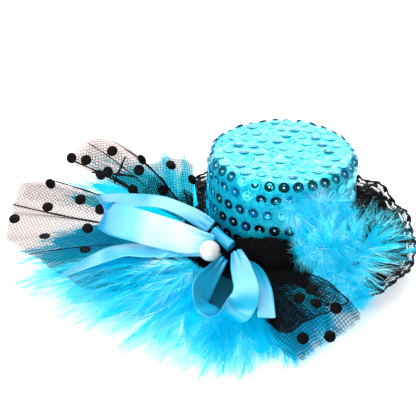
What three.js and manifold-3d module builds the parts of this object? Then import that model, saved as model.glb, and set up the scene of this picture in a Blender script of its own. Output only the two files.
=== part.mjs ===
// A mini top hat worn as a hair clip, in millimetres, +Z up.
// The crown and brim stand on a flat metal clip. A black lace frill lies on the brim, a roll of
// gathered dotted net hugs the crown and opens into fans, feathers lie round it, and a satin bow
// with a pearl closes the front.
// The origin is the middle of the clip's lower face, on the crown's axis. -Y is the trimmed front.
import * as THREE from "three";
import { mergeVertices } from "three/addons/utils/BufferGeometryUtils.js";
import Module from "manifold-3d";

const wasm = await Module();
wasm.setup();

// Driving dimensions
const GAP = 0.4; // air between neighbouring pieces
const ROUND_STEPS = 44; // facets round the hat
const SLOPE_STEP = 1e-3; // step that slopes are measured over
const WELD = 1e-4; // points closer than this are one

const CLIP = { length: 92, width: 9, height: 4, arm: 1.4, cornerSteps: 4 };
const BRIM = { radius: 59, thickness: 2, curl: 0.8, curlFrom: 47 };
const CROWN = { radius: 38, topRadius: 35.6, height: 46.6, wall: 2, edge: 4, edgeSteps: 4 };
const LACE = { thickness: 1, ruffles: 15, stepsPerRuffle: 6, ringSteps: 3 };
const NET = { thickness: 1, acrossSteps: 24, alongSteps: 6 };
const GATHER = { floor: 9.2, ripples: 13, rippleDepth: 0.07, headroom: 0.94, sides: 10, steps: 24 };
const FEATHER = {
  sides: 6,
  steps: 5,
  rootFullness: 0.45,
  fullFrom: 0.6,
  tipLength: 0.42,
  backingWidth: 4,
  backingHeight: 4,
  backingSteps: 7,
};
const RIBBON = { thickness: 1, steps: 22 };
const KNOT = { length: 12.5, radius: 2.9, flare: 1.12, sides: 12 };
const PEARL = { diameter: 9.6, steps: 16 };

// Levels up from the surface that the clip rests on
const BRIM_BOTTOM = CLIP.height + GAP;
const BRIM_TOP = BRIM_BOTTOM + BRIM.thickness;
const CROWN_BOTTOM = BRIM_TOP + GAP;
const CROWN_TOP = CROWN_BOTTOM + CROWN.height;

// Lace frill: how far it reaches, lifts and ruffles in each direction (0 is +X, 90 is the back)
const LACE_ROWS = [
  { azimuth: 0, reach: 66, lift: 1.5, ruffle: 1.9 },
  { azimuth: 40, reach: 64, lift: 5.5, ruffle: 1.9 },
  { azimuth: 80, reach: 65, lift: 6, ruffle: 1.8 },
  { azimuth: 120, reach: 66, lift: 2, ruffle: 1.0 },
  { azimuth: 160, reach: 65, lift: 0, ruffle: 0.3 },
  { azimuth: 200, reach: 65, lift: 0, ruffle: 0.2 },
  { azimuth: 240, reach: 65, lift: 0, ruffle: 0.2 },
  { azimuth: 280, reach: 66, lift: 0, ruffle: 0.25 },
  { azimuth: 320, reach: 70, lift: 0, ruffle: 1.3 },
  { azimuth: 360, reach: 66, lift: 1.5, ruffle: 1.9 },
];

// Gathered roll of net round the crown's foot: its top and its half width in each direction
const GATHER_ROWS = [
  { azimuth: 196, top: 21, half: 3.4 },
  { azimuth: 215, top: 24, half: 5.0 },
  { azimuth: 235, top: 25.5, half: 5.8 },
  { azimuth: 255, top: 30, half: 6.0 },
  { azimuth: 270, top: 29, half: 5.6 },
  { azimuth: 284, top: 20, half: 3.4 },
];

// Net fans: where the root line lies, then a row for each rib's tip with the arch of the cloth along it
const NET_FANS = {
  net_fan_upper: {
    root: { fromAzimuth: 206, toAzimuth: 197.5, fromRadius: 46.8, toRadius: 45.2, fromZ: 20.5, toZ: 20.3 },
    pleats: 7,
    pleatDepth: 0.9,
    pleatDirection: [0, -0.6, 0.8],
    hemFrom: 1,
    hemDrop: 0,
    ribs: [
      { x: -106, y: 7, z: 44, arch: 2 },
      { x: -98, y: 9, z: 51, arch: 6 },
      { x: -91, y: 10, z: 55, arch: 8 },
      { x: -81, y: 7, z: 54, arch: 8 },
      { x: -69, y: 2, z: 46, arch: 4 },
      { x: -63, y: 3, z: 44.5, arch: 2 },
      { x: -57, y: 5, z: 47, arch: 4 },
      { x: -49, y: 9, z: 44, arch: 3 },
      { x: -43, y: 11, z: 40, arch: 2 },
    ],
  },
  net_fan_lower: {
    root: { fromAzimuth: 204, toAzimuth: 221, fromRadius: 47.6, toRadius: 50.2, fromZ: 18.5, toZ: 16.5 },
    pleats: 8,
    pleatDepth: 0.8,
    pleatDirection: [0, -0.3, 0.95],
    hemFrom: 1,
    hemDrop: 0,
    ribs: [
      { x: -112, y: 1, z: 36, arch: 2 },
      { x: -127, y: 3, z: 34, arch: 3 },
      { x: -131, y: -10, z: 29, arch: -1 },
      { x: -130, y: -18, z: 28.5, arch: 2 },
      { x: -131, y: -32, z: 23, arch: 3 },
      { x: -117, y: -41, z: 19, arch: 2.5 },
      { x: -104, y: -50, z: 15.5, arch: 2 },
      { x: -89, y: -59, z: 13, arch: 1.5 },
      { x: -70, y: -60, z: 13, arch: 1 },
    ],
  },
  net_tail: {
    root: { fromAzimuth: 239, toAzimuth: 275, fromRadius: 52, toRadius: 52, fromZ: 19.5, toZ: 18.5 },
    pleats: 7,
    pleatDepth: 0.9,
    pleatDirection: [0, -0.5, 0.86],
    hemFrom: 0.78,
    hemDrop: 3,
    ribs: [
      { x: -7, y: -92, z: 10, arch: 1 },
      { x: 2, y: -100, z: 8, arch: 2 },
      { x: 11, y: -92, z: 8.5, arch: 3.5 },
      { x: 20, y: -86, z: 9.5, arch: 4.5 },
      { x: 31, y: -76, z: 12.5, arch: 4 },
      { x: 27, y: -68, z: 15.5, arch: 2 },
      { x: 20, y: -59, z: 17, arch: 1 },
    ],
  },
};

// Feather bunches: locks fan out from a backing strip along the brim, a row for each shown lock
const FEATHERS = {
  feather_front: {
    rootRadius: 55,
    rootHeight: 12.7,
    locks: 14,
    thickness: 5,
    rows: [
      { azimuth: 188, x: -112, y: -9, z: 12, arch: 1, width: 13 },
      { azimuth: 195, x: -131, y: -22, z: 7, arch: 1, width: 17 },
      { azimuth: 208, x: -122, y: -46, z: 1.5, arch: 1.5, width: 26 },
      { azimuth: 220, x: -101, y: -69, z: 0.4, arch: 1.5, width: 28 },
      { azimuth: 235, x: -73, y: -94, z: 0.4, arch: 1.5, width: 28 },
      { azimuth: 248, x: -39, y: -106, z: 0.4, arch: 1.5, width: 25 },
      { azimuth: 256, x: -17, y: -102, z: 0.4, arch: 1.5, width: 18 },
      { azimuth: 264, x: 3, y: -92, z: 0.4, arch: 2.6, width: 17 },
      { azimuth: 271, x: 20, y: -80, z: 2.5, arch: 3.2, width: 13 },
    ],
  },
  feather_back: {
    rootRadius: 46,
    rootHeight: 10.8,
    locks: 6,
    thickness: 5,
    rows: [
      { azimuth: 180, x: -118, y: 9, z: 25, arch: 1, width: 12 },
      { azimuth: 174, x: -101, y: 17, z: 31, arch: 1, width: 16 },
      { azimuth: 168, x: -80, y: 21, z: 35, arch: 2, width: 17 },
      { azimuth: 162, x: -61, y: 23, z: 35, arch: 2, width: 15 },
      { azimuth: 156, x: -50, y: 25, z: 33, arch: 1, width: 13 },
    ],
  },
  feather_side: {
    rootRadius: 45.5,
    rootHeight: 11.5,
    locks: 10,
    thickness: 4.6,
    rows: [
      { azimuth: 293, x: 8, y: -45, z: 39, arch: 0, width: 15 },
      { azimuth: 299, x: 18, y: -42.8, z: 46, arch: 0, width: 16 },
      { azimuth: 306, x: 29, y: -38, z: 42, arch: 0, width: 16 },
      { azimuth: 316, x: 41, y: -27, z: 32, arch: 1, width: 15 },
      { azimuth: 324, x: 55, y: -7, z: 18, arch: 2, width: 12 },
      { azimuth: 322, x: 61, y: -23, z: 17, arch: 2, width: 13 },
      { azimuth: 315, x: 56, y: -38, z: 15.5, arch: 2, width: 13 },
      { azimuth: 306, x: 43, y: -53, z: 14, arch: 2, width: 12 },
      { azimuth: 299, x: 33, y: -60, z: 13, arch: 2, width: 10 },
    ],
  },
};

// Ribbons: a row for each station of the middle line, with the direction across and the width there
const RIBBONS = {
  ribbon_loop_left: [
    { x: -33.3, y: -45, z: 29, across: [0.31, 0.39, 0.87], width: 7 },
    { x: -44.3, y: -43.8, z: 29.8, across: [0.25, 0.4, 0.88], width: 13 },
    { x: -56.8, y: -39.6, z: 31, across: [0.2, 0.36, 0.91], width: 15.5 },
    { x: -69.9, y: -34.9, z: 32.4, across: [0.15, 0.37, 0.92], width: 16 },
    { x: -79.9, y: -31.1, z: 33.4, across: [0.1, 0.5, 0.86], width: 16 },
    { x: -84.5, y: -27.7, z: 34.6, across: [0.05, 0.59, 0.8], width: 15 },
    { x: -81.9, y: -22.4, z: 36.4, across: [0.1, 0.92, 0.38], width: 14 },
    { x: -71.4, y: -21.9, z: 38, across: [0.2, 0.98, 0], width: 13 },
    { x: -58.6, y: -23.6, z: 38.2, across: [0.3, 0.95, -0.07], width: 12.5 },
    { x: -45.9, y: -28.8, z: 35.8, across: [0.36, 0.93, 0.05], width: 11 },
    { x: -34.7, y: -36.3, z: 32.2, across: [0.36, 0.78, 0.51], width: 7 },
  ],
  ribbon_loop_right: [
    { x: -28.7, y: -46.9, z: 22.6, across: [0.76, -0.13, -0.63], width: 5 },
    { x: -33.6, y: -57.1, z: 21.2, across: [0.72, -0.06, -0.69], width: 8 },
    { x: -37.6, y: -67, z: 21, across: [0.67, 0.15, -0.72], width: 12 },
    { x: -39.3, y: -74.5, z: 20.4, across: [0.55, 0.56, -0.62], width: 12.5 },
    { x: -36.9, y: -80.5, z: 18.4, across: [0.45, 0.85, -0.27], width: 13 },
    { x: -31.4, y: -84.9, z: 17.4, across: [0.63, 0.61, -0.48], width: 13.5 },
    { x: -24.1, y: -84.5, z: 20, across: [0.88, -0.03, -0.48], width: 13.5 },
    { x: -20.6, y: -81, z: 23, across: [0.95, -0.2, -0.24], width: 12.5 },
    { x: -19.4, y: -75.5, z: 25.4, across: [1, 0.02, -0.07], width: 11.5 },
    { x: -20.5, y: -68.4, z: 26.8, across: [0.94, 0.28, 0.18], width: 10.5 },
    { x: -21.9, y: -61.1, z: 28.2, across: [0.88, 0.36, 0.31], width: 9 },
    { x: -23.5, y: -52.3, z: 29.6, across: [0.82, 0.37, 0.43], width: 5 },
  ],
  ribbon_tail_left: [
    { x: -33.5, y: -44, z: 22.3, across: [0.1, 0.99, 0], width: 4 },
    { x: -49.9, y: -41.3, z: 22.2, across: [0.1, 0.99, 0], width: 10 },
    { x: -63.4, y: -41.1, z: 22.4, across: [0.1, 0.99, -0.06], width: 12 },
    { x: -76.3, y: -41.1, z: 22.4, across: [0.15, 0.99, -0.05], width: 12.5 },
    { x: -88.9, y: -49.9, z: 22.4, across: [0.2, 0.97, -0.13], width: 12.5 },
    { x: -103.1, y: -60.7, z: 20.4, across: [0.3, 0.93, -0.2], width: 11 },
  ],
  ribbon_tail_right: [
    { x: -19.7, y: -49.8, z: 23.4, across: [0.51, 0.54, -0.67], width: 4 },
    { x: -14.7, y: -55.5, z: 22.6, across: [0.75, 0.51, -0.42], width: 6.5 },
    { x: -11.7, y: -69.1, z: 20.9, across: [0.84, 0.53, -0.08], width: 8 },
    { x: -11.1, y: -87, z: 17.9, across: [0.81, 0.59, 0], width: 8 },
  ],
};
const KNOT_PLACE = { x: -29.4, y: -40.6, z: 28.4, axis: [0.7, -0.64, -0.32] };
const PEARL_PLACE = { x: -35.3, y: -51.8, z: 29.2 };

const SEQUIN_CLOTH = new THREE.MeshStandardMaterial({ color: "#12b5d2", roughness: 0.3, metalness: 0.3 });
const LACE_CLOTH = new THREE.MeshStandardMaterial({ color: "#0b0a0c", roughness: 0.8 });
const NET_CLOTH = new THREE.MeshStandardMaterial({ color: "#15141a", roughness: 0.8 });
const FEATHER_DOWN = new THREE.MeshStandardMaterial({ color: "#22c3f2", roughness: 0.9 });
const SATIN = new THREE.MeshStandardMaterial({ color: "#5fd6f7", roughness: 0.4 });
const PEARL_GLAZE = new THREE.MeshStandardMaterial({ color: "#fbf6ee", roughness: 0.15 });
const CLIP_STEEL = new THREE.MeshStandardMaterial({ color: "#b9bcc0", roughness: 0.3, metalness: 1 });

const vector = (x, y, z) => new THREE.Vector3(x, y, z);
const placeOf = (row) => vector(row.x, row.y, row.z);
const radians = THREE.MathUtils.degToRad;
const onCircle = (azimuth, radius, z) =>
  vector(radius * Math.cos(radians(azimuth)), radius * Math.sin(radians(azimuth)), z);
const smoothStep = (value, low, high) => THREE.MathUtils.smoothstep(value, low, high);

// A column of a table, read smoothly at share t of its length
function smoothColumn(values, t) {
  const last = values.length - 1;
  const at = THREE.MathUtils.clamp(t, 0, 1) * last;
  const i = Math.min(Math.floor(at), last - 1);
  const f = at - i;
  const [a, b, c, d] = [-1, 0, 1, 2].map((k) => values[THREE.MathUtils.clamp(i + k, 0, last)]);
  return b + 0.5 * f * (c - a + f * (2 * a - 5 * b + 4 * c - d + f * (3 * (b - c) + d - a)));
}
const smoothRow = (rows, names, t) =>
  Object.fromEntries(names.map((name) => [name, smoothColumn(rows.map((row) => row[name]), t)]));

// The same, at an azimuth between the rows' own azimuths
function rowAtAzimuth(rows, names, azimuth) {
  const i = Math.max(0, rows.findLastIndex((row) => row.azimuth <= azimuth));
  const j = Math.min(i + 1, rows.length - 1);
  const span = rows[j].azimuth - rows[i].azimuth || 1;
  return smoothRow(rows, names, (i + (azimuth - rows[i].azimuth) / span) / (rows.length - 1));
}

// Closed geometry from a list of points and a list of four-cornered faces
function fromQuads(points, quads, extraTriangles = []) {
  const geometry = new THREE.BufferGeometry().setFromPoints(points);
  const triangles = quads.flatMap(([a, b, c, d]) => [a, b, c, a, c, d]);
  return geometry.setIndex([...triangles, ...extraTriangles]);
}

// A cloth wall of even thickness on both sides of surface(u, v); a ring joins its last column to its first
function clothWall(surface, acrossSteps, alongSteps, thickness, ring = false) {
  const columns = ring ? acrossSteps : acrossSteps + 1;
  const rows = alongSteps + 1;
  const points = [];
  for (const side of [1, -1]) {
    for (let i = 0; i < columns; i++) {
      for (let j = 0; j < rows; j++) {
        const [u, v] = [i / acrossSteps, j / alongSteps];
        const [du, dv] = [u, v].map((share) => (share > 0.5 ? -SLOPE_STEP : SLOPE_STEP));
        const middle = surface(u, v);
        const alongU = surface(u + du, v).sub(middle).divideScalar(du);
        const alongV = surface(u, v + dv).sub(middle).divideScalar(dv);
        const normal = alongU.cross(alongV).normalize();
        points.push(middle.addScaledVector(normal, (side * thickness) / 2));
      }
    }
  }
  const layer = columns * rows;
  const at = (side, i, j) => side * layer + (i % columns) * rows + j;
  const quads = [];
  const [m, n] = [acrossSteps, alongSteps];
  for (let i = 0; i < m; i++) {
    for (let j = 0; j < n; j++) {
      quads.push([at(0, i, j), at(0, i + 1, j), at(0, i + 1, j + 1), at(0, i, j + 1)]);
      quads.push([at(1, i, j), at(1, i, j + 1), at(1, i + 1, j + 1), at(1, i + 1, j)]);
    }
    quads.push([at(0, i, 0), at(1, i, 0), at(1, i + 1, 0), at(0, i + 1, 0)]);
    quads.push([at(0, i, n), at(0, i + 1, n), at(1, i + 1, n), at(1, i, n)]);
  }
  for (let j = 0; j < n && !ring; j++) {
    quads.push([at(0, 0, j), at(0, 0, j + 1), at(1, 0, j + 1), at(1, 0, j)]);
    quads.push([at(0, m, j), at(1, m, j), at(1, m, j + 1), at(0, m, j + 1)]);
  }
  return fromQuads(points, quads);
}

// A closed body through a row of rings, each a list of the same number of points
function throughRings(rings) {
  const sides = rings[0].length;
  const quads = [];
  for (let i = 0; i + 1 < rings.length; i++) {
    for (let k = 0; k < sides; k++) {
      const next = (k + 1) % sides;
      quads.push([i * sides + k, i * sides + next, (i + 1) * sides + next, (i + 1) * sides + k]);
    }
  }
  const end = (rings.length - 1) * sides;
  const caps = [];
  for (let k = 1; k + 1 < sides; k++) caps.push(0, k + 1, k, end, end + k, end + k + 1);
  return fromQuads(rings.flat(), quads, caps);
}

// A geometry as a solid for joining and cutting, and back
function toSolid(geometry) {
  const bare = new THREE.BufferGeometry();
  bare.setAttribute("position", geometry.getAttribute("position"));
  bare.setIndex(geometry.index);
  const merged = mergeVertices(bare, WELD);
  return new wasm.Manifold(
    new wasm.Mesh({
      numProp: 3,
      vertProperties: new Float32Array(merged.attributes.position.array),
      triVerts: new Uint32Array(merged.index.array),
    }),
  );
}
function toGeometry(solid) {
  const mesh = solid.getMesh();
  const geometry = new THREE.BufferGeometry();
  geometry.setAttribute("position", new THREE.BufferAttribute(mesh.vertProperties, 3));
  return geometry.setIndex(new THREE.BufferAttribute(mesh.triVerts, 1));
}

// Crown: a stiff cap with a rounded top edge, open below
function crownGeometry() {
  const { radius, topRadius, wall, edge, edgeSteps } = CROWN;
  const roundEdge = (outer, top, size) =>
    Array.from({ length: edgeSteps + 1 }, (_, i) => {
      const angle = (i / edgeSteps) * (Math.PI / 2);
      return new THREE.Vector2(outer - size + size * Math.cos(angle), top - size + size * Math.sin(angle));
    });
  const profile = [
    new THREE.Vector2(0, CROWN_TOP - wall),
    ...roundEdge(topRadius - wall, CROWN_TOP - wall, edge - wall / 2).reverse(),
    new THREE.Vector2(radius - wall, CROWN_BOTTOM),
    new THREE.Vector2(radius, CROWN_BOTTOM),
    ...roundEdge(topRadius, CROWN_TOP, edge),
    new THREE.Vector2(0, CROWN_TOP),
  ];
  return new THREE.LatheGeometry(profile, ROUND_STEPS).rotateX(Math.PI / 2);
}

// Brim: a ring under the crown whose edge curls up a little
const brimRise = (radius) => BRIM.curl * smoothStep(radius, BRIM.curlFrom, BRIM.radius);
function brimGeometry() {
  const inner = CROWN.radius - CROWN.wall;
  const radii = [inner, BRIM.curlFrom, (BRIM.curlFrom + BRIM.radius) / 2, BRIM.radius];
  const lower = radii.map((r) => new THREE.Vector2(r, BRIM_BOTTOM + brimRise(r)));
  const upper = radii.map((r) => new THREE.Vector2(r, BRIM_TOP + brimRise(r))).reverse();
  return new THREE.LatheGeometry([...lower, ...upper, lower[0]], ROUND_STEPS).rotateX(Math.PI / 2);
}

// Hair clip: one strip bent back on itself, open at one end
function clipGeometry() {
  const { length, width, height, arm, cornerSteps } = CLIP;
  const [half, slot] = [length / 2, (height - 2 * arm) / 2];
  const bend = -half + height / 2;
  const outline = new THREE.Shape();
  outline.moveTo(half, 0);
  outline.lineTo(half, arm);
  outline.lineTo(bend, arm);
  outline.absarc(bend, height / 2, slot, -Math.PI / 2, Math.PI / 2, true);
  outline.lineTo(half, height - arm);
  outline.lineTo(half, height);
  outline.lineTo(bend, height);
  outline.absarc(bend, height / 2, height / 2, Math.PI / 2, -Math.PI / 2, false);
  outline.lineTo(half, 0);
  const extruded = new THREE.ExtrudeGeometry(outline, {
    depth: width,
    bevelEnabled: false,
    curveSegments: cornerSteps,
  });
  return extruded.rotateX(Math.PI / 2).translate(0, width / 2, 0);
}

// Lace frill: a ring of ruffled lace from the crown's foot to past the brim's edge
function laceGeometry() {
  const inner = CROWN.radius + GAP + LACE.thickness / 2;
  const surface = (u, v) => {
    const azimuth = 360 * (((u % 1) + 1) % 1);
    const { reach, lift, ruffle } = rowAtAzimuth(LACE_ROWS, ["reach", "lift", "ruffle"], azimuth);
    const radius = inner + (reach - inner) * v;
    const wave = 1 + Math.sin(radians(azimuth) * LACE.ruffles);
    const rise = brimRise(radius) + lift * v * v + ruffle * wave * v;
    return onCircle(azimuth, radius, BRIM_TOP + GAP + LACE.thickness / 2 + rise);
  };
  return clothWall(surface, LACE.ruffles * LACE.stepsPerRuffle, LACE.ringSteps, LACE.thickness, true);
}

// Gathered net: a rippled roll along the crown's foot
function gatherGeometry() {
  const first = GATHER_ROWS[0].azimuth;
  const sweep = GATHER_ROWS.at(-1).azimuth - first;
  const rings = Array.from({ length: GATHER.steps + 1 }, (_, i) => {
    const azimuth = first + (sweep * i) / GATHER.steps;
    const { top, half } = rowAtAzimuth(GATHER_ROWS, ["top", "half"], azimuth);
    const turn = (2 * Math.PI * GATHER.ripples * i) / GATHER.steps;
    const ripple = 1 + GATHER.rippleDepth * Math.sin(turn);
    const middle = CROWN.radius + GAP + half * (1 + GATHER.rippleDepth);
    const tall = (top - GATHER.floor) / 2;
    return Array.from({ length: GATHER.sides }, (_, k) => {
      const angle = (-2 * Math.PI * k) / GATHER.sides;
      const radius = middle + half * ripple * Math.cos(angle);
      const height = tall * (1 + ripple * GATHER.headroom * Math.sin(angle));
      return onCircle(azimuth, radius, GATHER.floor + height);
    });
  });
  return throughRings(rings);
}

// Net fan: cloth between ribs that spread from a short root line
function netGeometry({ root, pleats, pleatDepth, pleatDirection, hemFrom, hemDrop, ribs }) {
  const fold = vector(...pleatDirection);
  const { lerp } = THREE.MathUtils;
  const rootAt = (u) =>
    onCircle(
      lerp(root.fromAzimuth, root.toAzimuth, u),
      lerp(root.fromRadius, root.toRadius, u),
      lerp(root.fromZ, root.toZ, u),
    );
  const surface = (u, v) => {
    const tip = smoothRow(ribs, ["x", "y", "z", "arch"], u);
    const point = rootAt(u).lerp(placeOf(tip), v);
    point.z += 4 * tip.arch * v * (1 - v) - hemDrop * smoothStep(v, hemFrom, 1 + 1e-6);
    const pleat = pleatDepth * v * Math.sin(2 * Math.PI * pleats * u);
    return point.addScaledVector(fold, pleat);
  };
  return clothWall(surface, NET.acrossSteps, NET.alongSteps, NET.thickness);
}

// Feather lock: a flat leaf along an arched line, narrow at its root and round at its tip.
// A lying lock faces up, a standing lock faces out from the crown.
function lockGeometry(root, tip, arch, width, thickness) {
  const along = tip.clone().sub(root).normalize();
  const outward = root.clone().setZ(0).normalize();
  const facing = vector(0, 0, 1).lerp(outward, Math.max(0, along.z));
  const across = facing.cross(along).normalize();
  const face = along.clone().cross(across);
  const rings = Array.from({ length: FEATHER.steps + 1 }, (_, i) => {
    const s = i / FEATHER.steps;
    const middle = root.clone().lerp(tip, s).addScaledVector(face, 4 * arch * s * (1 - s));
    const rounding = Math.max(0, s - FEATHER.fullFrom) / FEATHER.tipLength;
    const swell = THREE.MathUtils.lerp(FEATHER.rootFullness, 1, smoothStep(s, 0, FEATHER.fullFrom));
    const fullness = swell * Math.sqrt(1 - rounding * rounding);
    return Array.from({ length: FEATHER.sides }, (_, k) => {
      const angle = (2 * Math.PI * k) / FEATHER.sides;
      return middle
        .clone()
        .addScaledVector(across, (width / 2) * fullness * Math.cos(angle))
        .addScaledVector(face, (thickness / 2) * fullness * Math.sin(angle));
    });
  });
  return throughRings(rings);
}

// Feather bunch: locks joined to their backing strip, flattened where they lie on the surface
function featherGeometry({ rootRadius, rootHeight, locks, thickness, rows }) {
  const names = ["azimuth", "x", "y", "z", "arch", "width"];
  const azimuths = rows.map((row) => row.azimuth);
  const [first, last] = [Math.min(...azimuths), Math.max(...azimuths)];
  const { backingWidth, backingHeight, backingSteps } = FEATHER;
  const backing = throughRings(
    Array.from({ length: backingSteps + 1 }, (_, i) => {
      const azimuth = first + ((last - first) * i) / backingSteps;
      const corner = (outward, upward) => {
        const radius = rootRadius + (outward * backingWidth) / 2;
        return onCircle(azimuth, radius, rootHeight + (upward * backingHeight) / 2);
      };
      return [corner(-1, -1), corner(-1, 1), corner(1, 1), corner(1, -1)];
    }),
  );
  let bunch = toSolid(backing);
  for (let i = 0; i < locks; i++) {
    const row = smoothRow(rows, names, i / (locks - 1));
    const root = onCircle(row.azimuth, rootRadius, rootHeight);
    bunch = bunch.add(toSolid(lockGeometry(root, placeOf(row), row.arch, row.width, thickness)));
  }
  const reach = 400;
  const below = new THREE.BoxGeometry(reach, reach, reach).translate(0, 0, -reach / 2);
  const resting = bunch.subtract(toSolid(below)).decompose();
  return toGeometry(resting.reduce((a, b) => (a.volume() > b.volume() ? a : b)));
}

// Satin ribbon: a flat strip along its stations
function ribbonGeometry(rows) {
  const names = ["x", "y", "z", "width", "ax", "ay", "az"];
  const stations = rows.map((row) => ({ ...row, ax: row.across[0], ay: row.across[1], az: row.across[2] }));
  const stationAt = (t) => smoothRow(stations, names, t);
  const rings = Array.from({ length: RIBBON.steps + 1 }, (_, i) => {
    const t = i / RIBBON.steps;
    const here = stationAt(t);
    const [before, after] = [t - SLOPE_STEP, t + SLOPE_STEP].map((share) => placeOf(stationAt(share)));
    const along = after.sub(before).normalize();
    const across = vector(here.ax, here.ay, here.az);
    across.addScaledVector(along, -across.dot(along)).normalize();
    const face = along.clone().cross(across);
    const corner = (side, layer) =>
      placeOf(here)
        .addScaledVector(across, (side * here.width) / 2)
        .addScaledVector(face, (layer * RIBBON.thickness) / 2);
    return [corner(1, -1), corner(1, 1), corner(-1, 1), corner(-1, -1)];
  });
  return throughRings(rings);
}

// Knot: a short roll of ribbon, a little wider at its ends
function knotGeometry() {
  const { length, radius, flare, sides } = KNOT;
  const profile = [
    new THREE.Vector2(0, -length / 2),
    new THREE.Vector2(radius * flare, -length / 2),
    new THREE.Vector2(radius, 0),
    new THREE.Vector2(radius * flare, length / 2),
    new THREE.Vector2(0, length / 2),
  ];
  const { x, y, z, axis } = KNOT_PLACE;
  const turn = new THREE.Quaternion().setFromUnitVectors(vector(0, 1, 0), vector(...axis).normalize());
  return new THREE.LatheGeometry(profile, sides).applyQuaternion(turn).translate(x, y, z);
}

// Pearl: a round bead
function pearlGeometry() {
  const { x, y, z } = PEARL_PLACE;
  return new THREE.SphereGeometry(PEARL.diameter / 2, PEARL.steps, PEARL.steps / 2).translate(x, y, z);
}

// The assembly
const hat = new THREE.Group();
hat.name = "mini_hat_hair_clip";
function addPiece(name, geometry, material) {
  const piece = new THREE.Mesh(geometry, material);
  piece.name = name;
  hat.add(piece);
}

addPiece("hair_clip", clipGeometry(), CLIP_STEEL);
addPiece("brim", brimGeometry(), SEQUIN_CLOTH);
addPiece("crown", crownGeometry(), SEQUIN_CLOTH);
addPiece("lace_frill", laceGeometry(), LACE_CLOTH);
addPiece("net_gather", gatherGeometry(), NET_CLOTH);
for (const [name, fan] of Object.entries(NET_FANS)) addPiece(name, netGeometry(fan), NET_CLOTH);
for (const [name, bunch] of Object.entries(FEATHERS)) addPiece(name, featherGeometry(bunch), FEATHER_DOWN);
for (const [name, rows] of Object.entries(RIBBONS)) addPiece(name, ribbonGeometry(rows), SATIN);
addPiece("ribbon_knot", knotGeometry(), SATIN);
addPiece("pearl", pearlGeometry(), PEARL_GLAZE);

export default hat;
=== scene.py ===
import math
from contextlib import contextmanager

import bpy
import numpy as np
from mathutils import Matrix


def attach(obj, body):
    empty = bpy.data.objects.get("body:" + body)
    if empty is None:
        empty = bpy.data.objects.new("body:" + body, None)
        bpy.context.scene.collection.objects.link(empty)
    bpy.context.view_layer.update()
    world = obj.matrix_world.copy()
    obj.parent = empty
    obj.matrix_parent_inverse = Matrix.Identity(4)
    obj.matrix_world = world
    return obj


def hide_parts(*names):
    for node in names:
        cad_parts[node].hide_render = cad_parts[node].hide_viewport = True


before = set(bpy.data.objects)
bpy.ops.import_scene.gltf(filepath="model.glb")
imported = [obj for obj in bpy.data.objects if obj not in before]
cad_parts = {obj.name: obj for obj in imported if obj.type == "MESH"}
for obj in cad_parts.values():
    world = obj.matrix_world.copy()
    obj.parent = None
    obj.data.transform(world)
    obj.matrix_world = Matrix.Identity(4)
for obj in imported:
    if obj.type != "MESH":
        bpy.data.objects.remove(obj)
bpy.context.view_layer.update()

# Lengths in the tables are millimetres, as in the part's source. Meshes are written in metres.
MM = 0.001
UP = np.array([0.0, 0.0, 1.0])
FULL_TURN = 2 * math.pi

# The hat's own sizes

GAP = 0.4
BRIM = {"bottom": 4.4, "top": 6.4, "inner": 36.0, "radius": 59.0, "curl": 0.8, "curl_from": 47.0}
CROWN = {"bottom": 6.8, "top": 53.4, "radius": 38.0, "top_radius": 35.6, "wall": 2.0, "edge": 4.0}

LACE_RUFFLES = 15
LACE_HALF = 0.5
LACE_INNER = CROWN["radius"] + GAP + LACE_HALF
LACE_FLOOR = BRIM["top"] + GAP + LACE_HALF
# azimuth, reach, lift, ruffle
LACE_ROWS = [
    (0, 66, 1.5, 1.9), (40, 64, 5.5, 1.9), (80, 65, 6, 1.8), (120, 66, 2, 1.0), (160, 65, 0, 0.3),
    (200, 65, 0, 0.2), (240, 65, 0, 0.2), (280, 66, 0, 0.25), (320, 70, 0, 1.3), (360, 66, 1.5, 1.9),
]

GATHER_FLOOR = 9.2
# azimuth, top, half depth
GATHER_ROWS = [
    (196, 21, 3.4), (215, 24, 5.0), (235, 25.5, 5.8), (255, 30, 6.0), (270, 29, 5.6), (284, 20, 3.4),
]

# root: azimuth, radius and height at each end; ribs: x, y, z of the tip and the arch;
# hem: where the cloth turns down and how far; flow: azimuths on the roll, and how much of v lies on it
NET_FANS = {
    "net_fan_upper": {
        "root": ((206, 197.5), (46.8, 45.2), (20.5, 20.3)),
        "pleats": 7, "depth": 0.9, "pleat_way": (0, -0.6, 0.8),
        "ribs": [
            (-106, 7, 44, 2), (-98, 9, 51, 6), (-91, 10, 55, 8), (-81, 7, 54, 8), (-69, 2, 46, 4),
            (-63, 3, 44.5, 2), (-57, 5, 47, 4), (-49, 9, 44, 3), (-43, 11, 40, 2),
        ],
    },
    "net_fan_lower": {
        "root": ((204, 221), (47.6, 50.2), (18.5, 16.5)),
        "pleats": 8, "depth": 0.8, "pleat_way": (0, -0.3, 0.95),
        "ribs": [
            (-112, 1, 36, 2), (-127, 3, 34, 3), (-131, -10, 29, -1), (-130, -18, 28.5, 2),
            (-131, -32, 23, 3), (-117, -41, 19, 2.5), (-104, -50, 15.5, 2), (-89, -59, 13, 1.5),
            (-70, -60, 13, 1),
        ],
    },
    "net_tail": {
        "root": ((239, 275), (52, 52), (19.5, 18.5)),
        "pleats": 7, "depth": 0.9, "pleat_way": (0, -0.5, 0.86), "hem": (0.78, 3.0),
        "flow": ((238, 284), 0.4),
        "ribs": [
            (-7, -92, 10, 1), (2, -100, 8, 2), (11, -92, 8.5, 3.5), (20, -86, 9.5, 4.5),
            (31, -76, 12.5, 4), (27, -68, 15.5, 2), (20, -59, 17, 1),
        ],
    },
}

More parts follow.
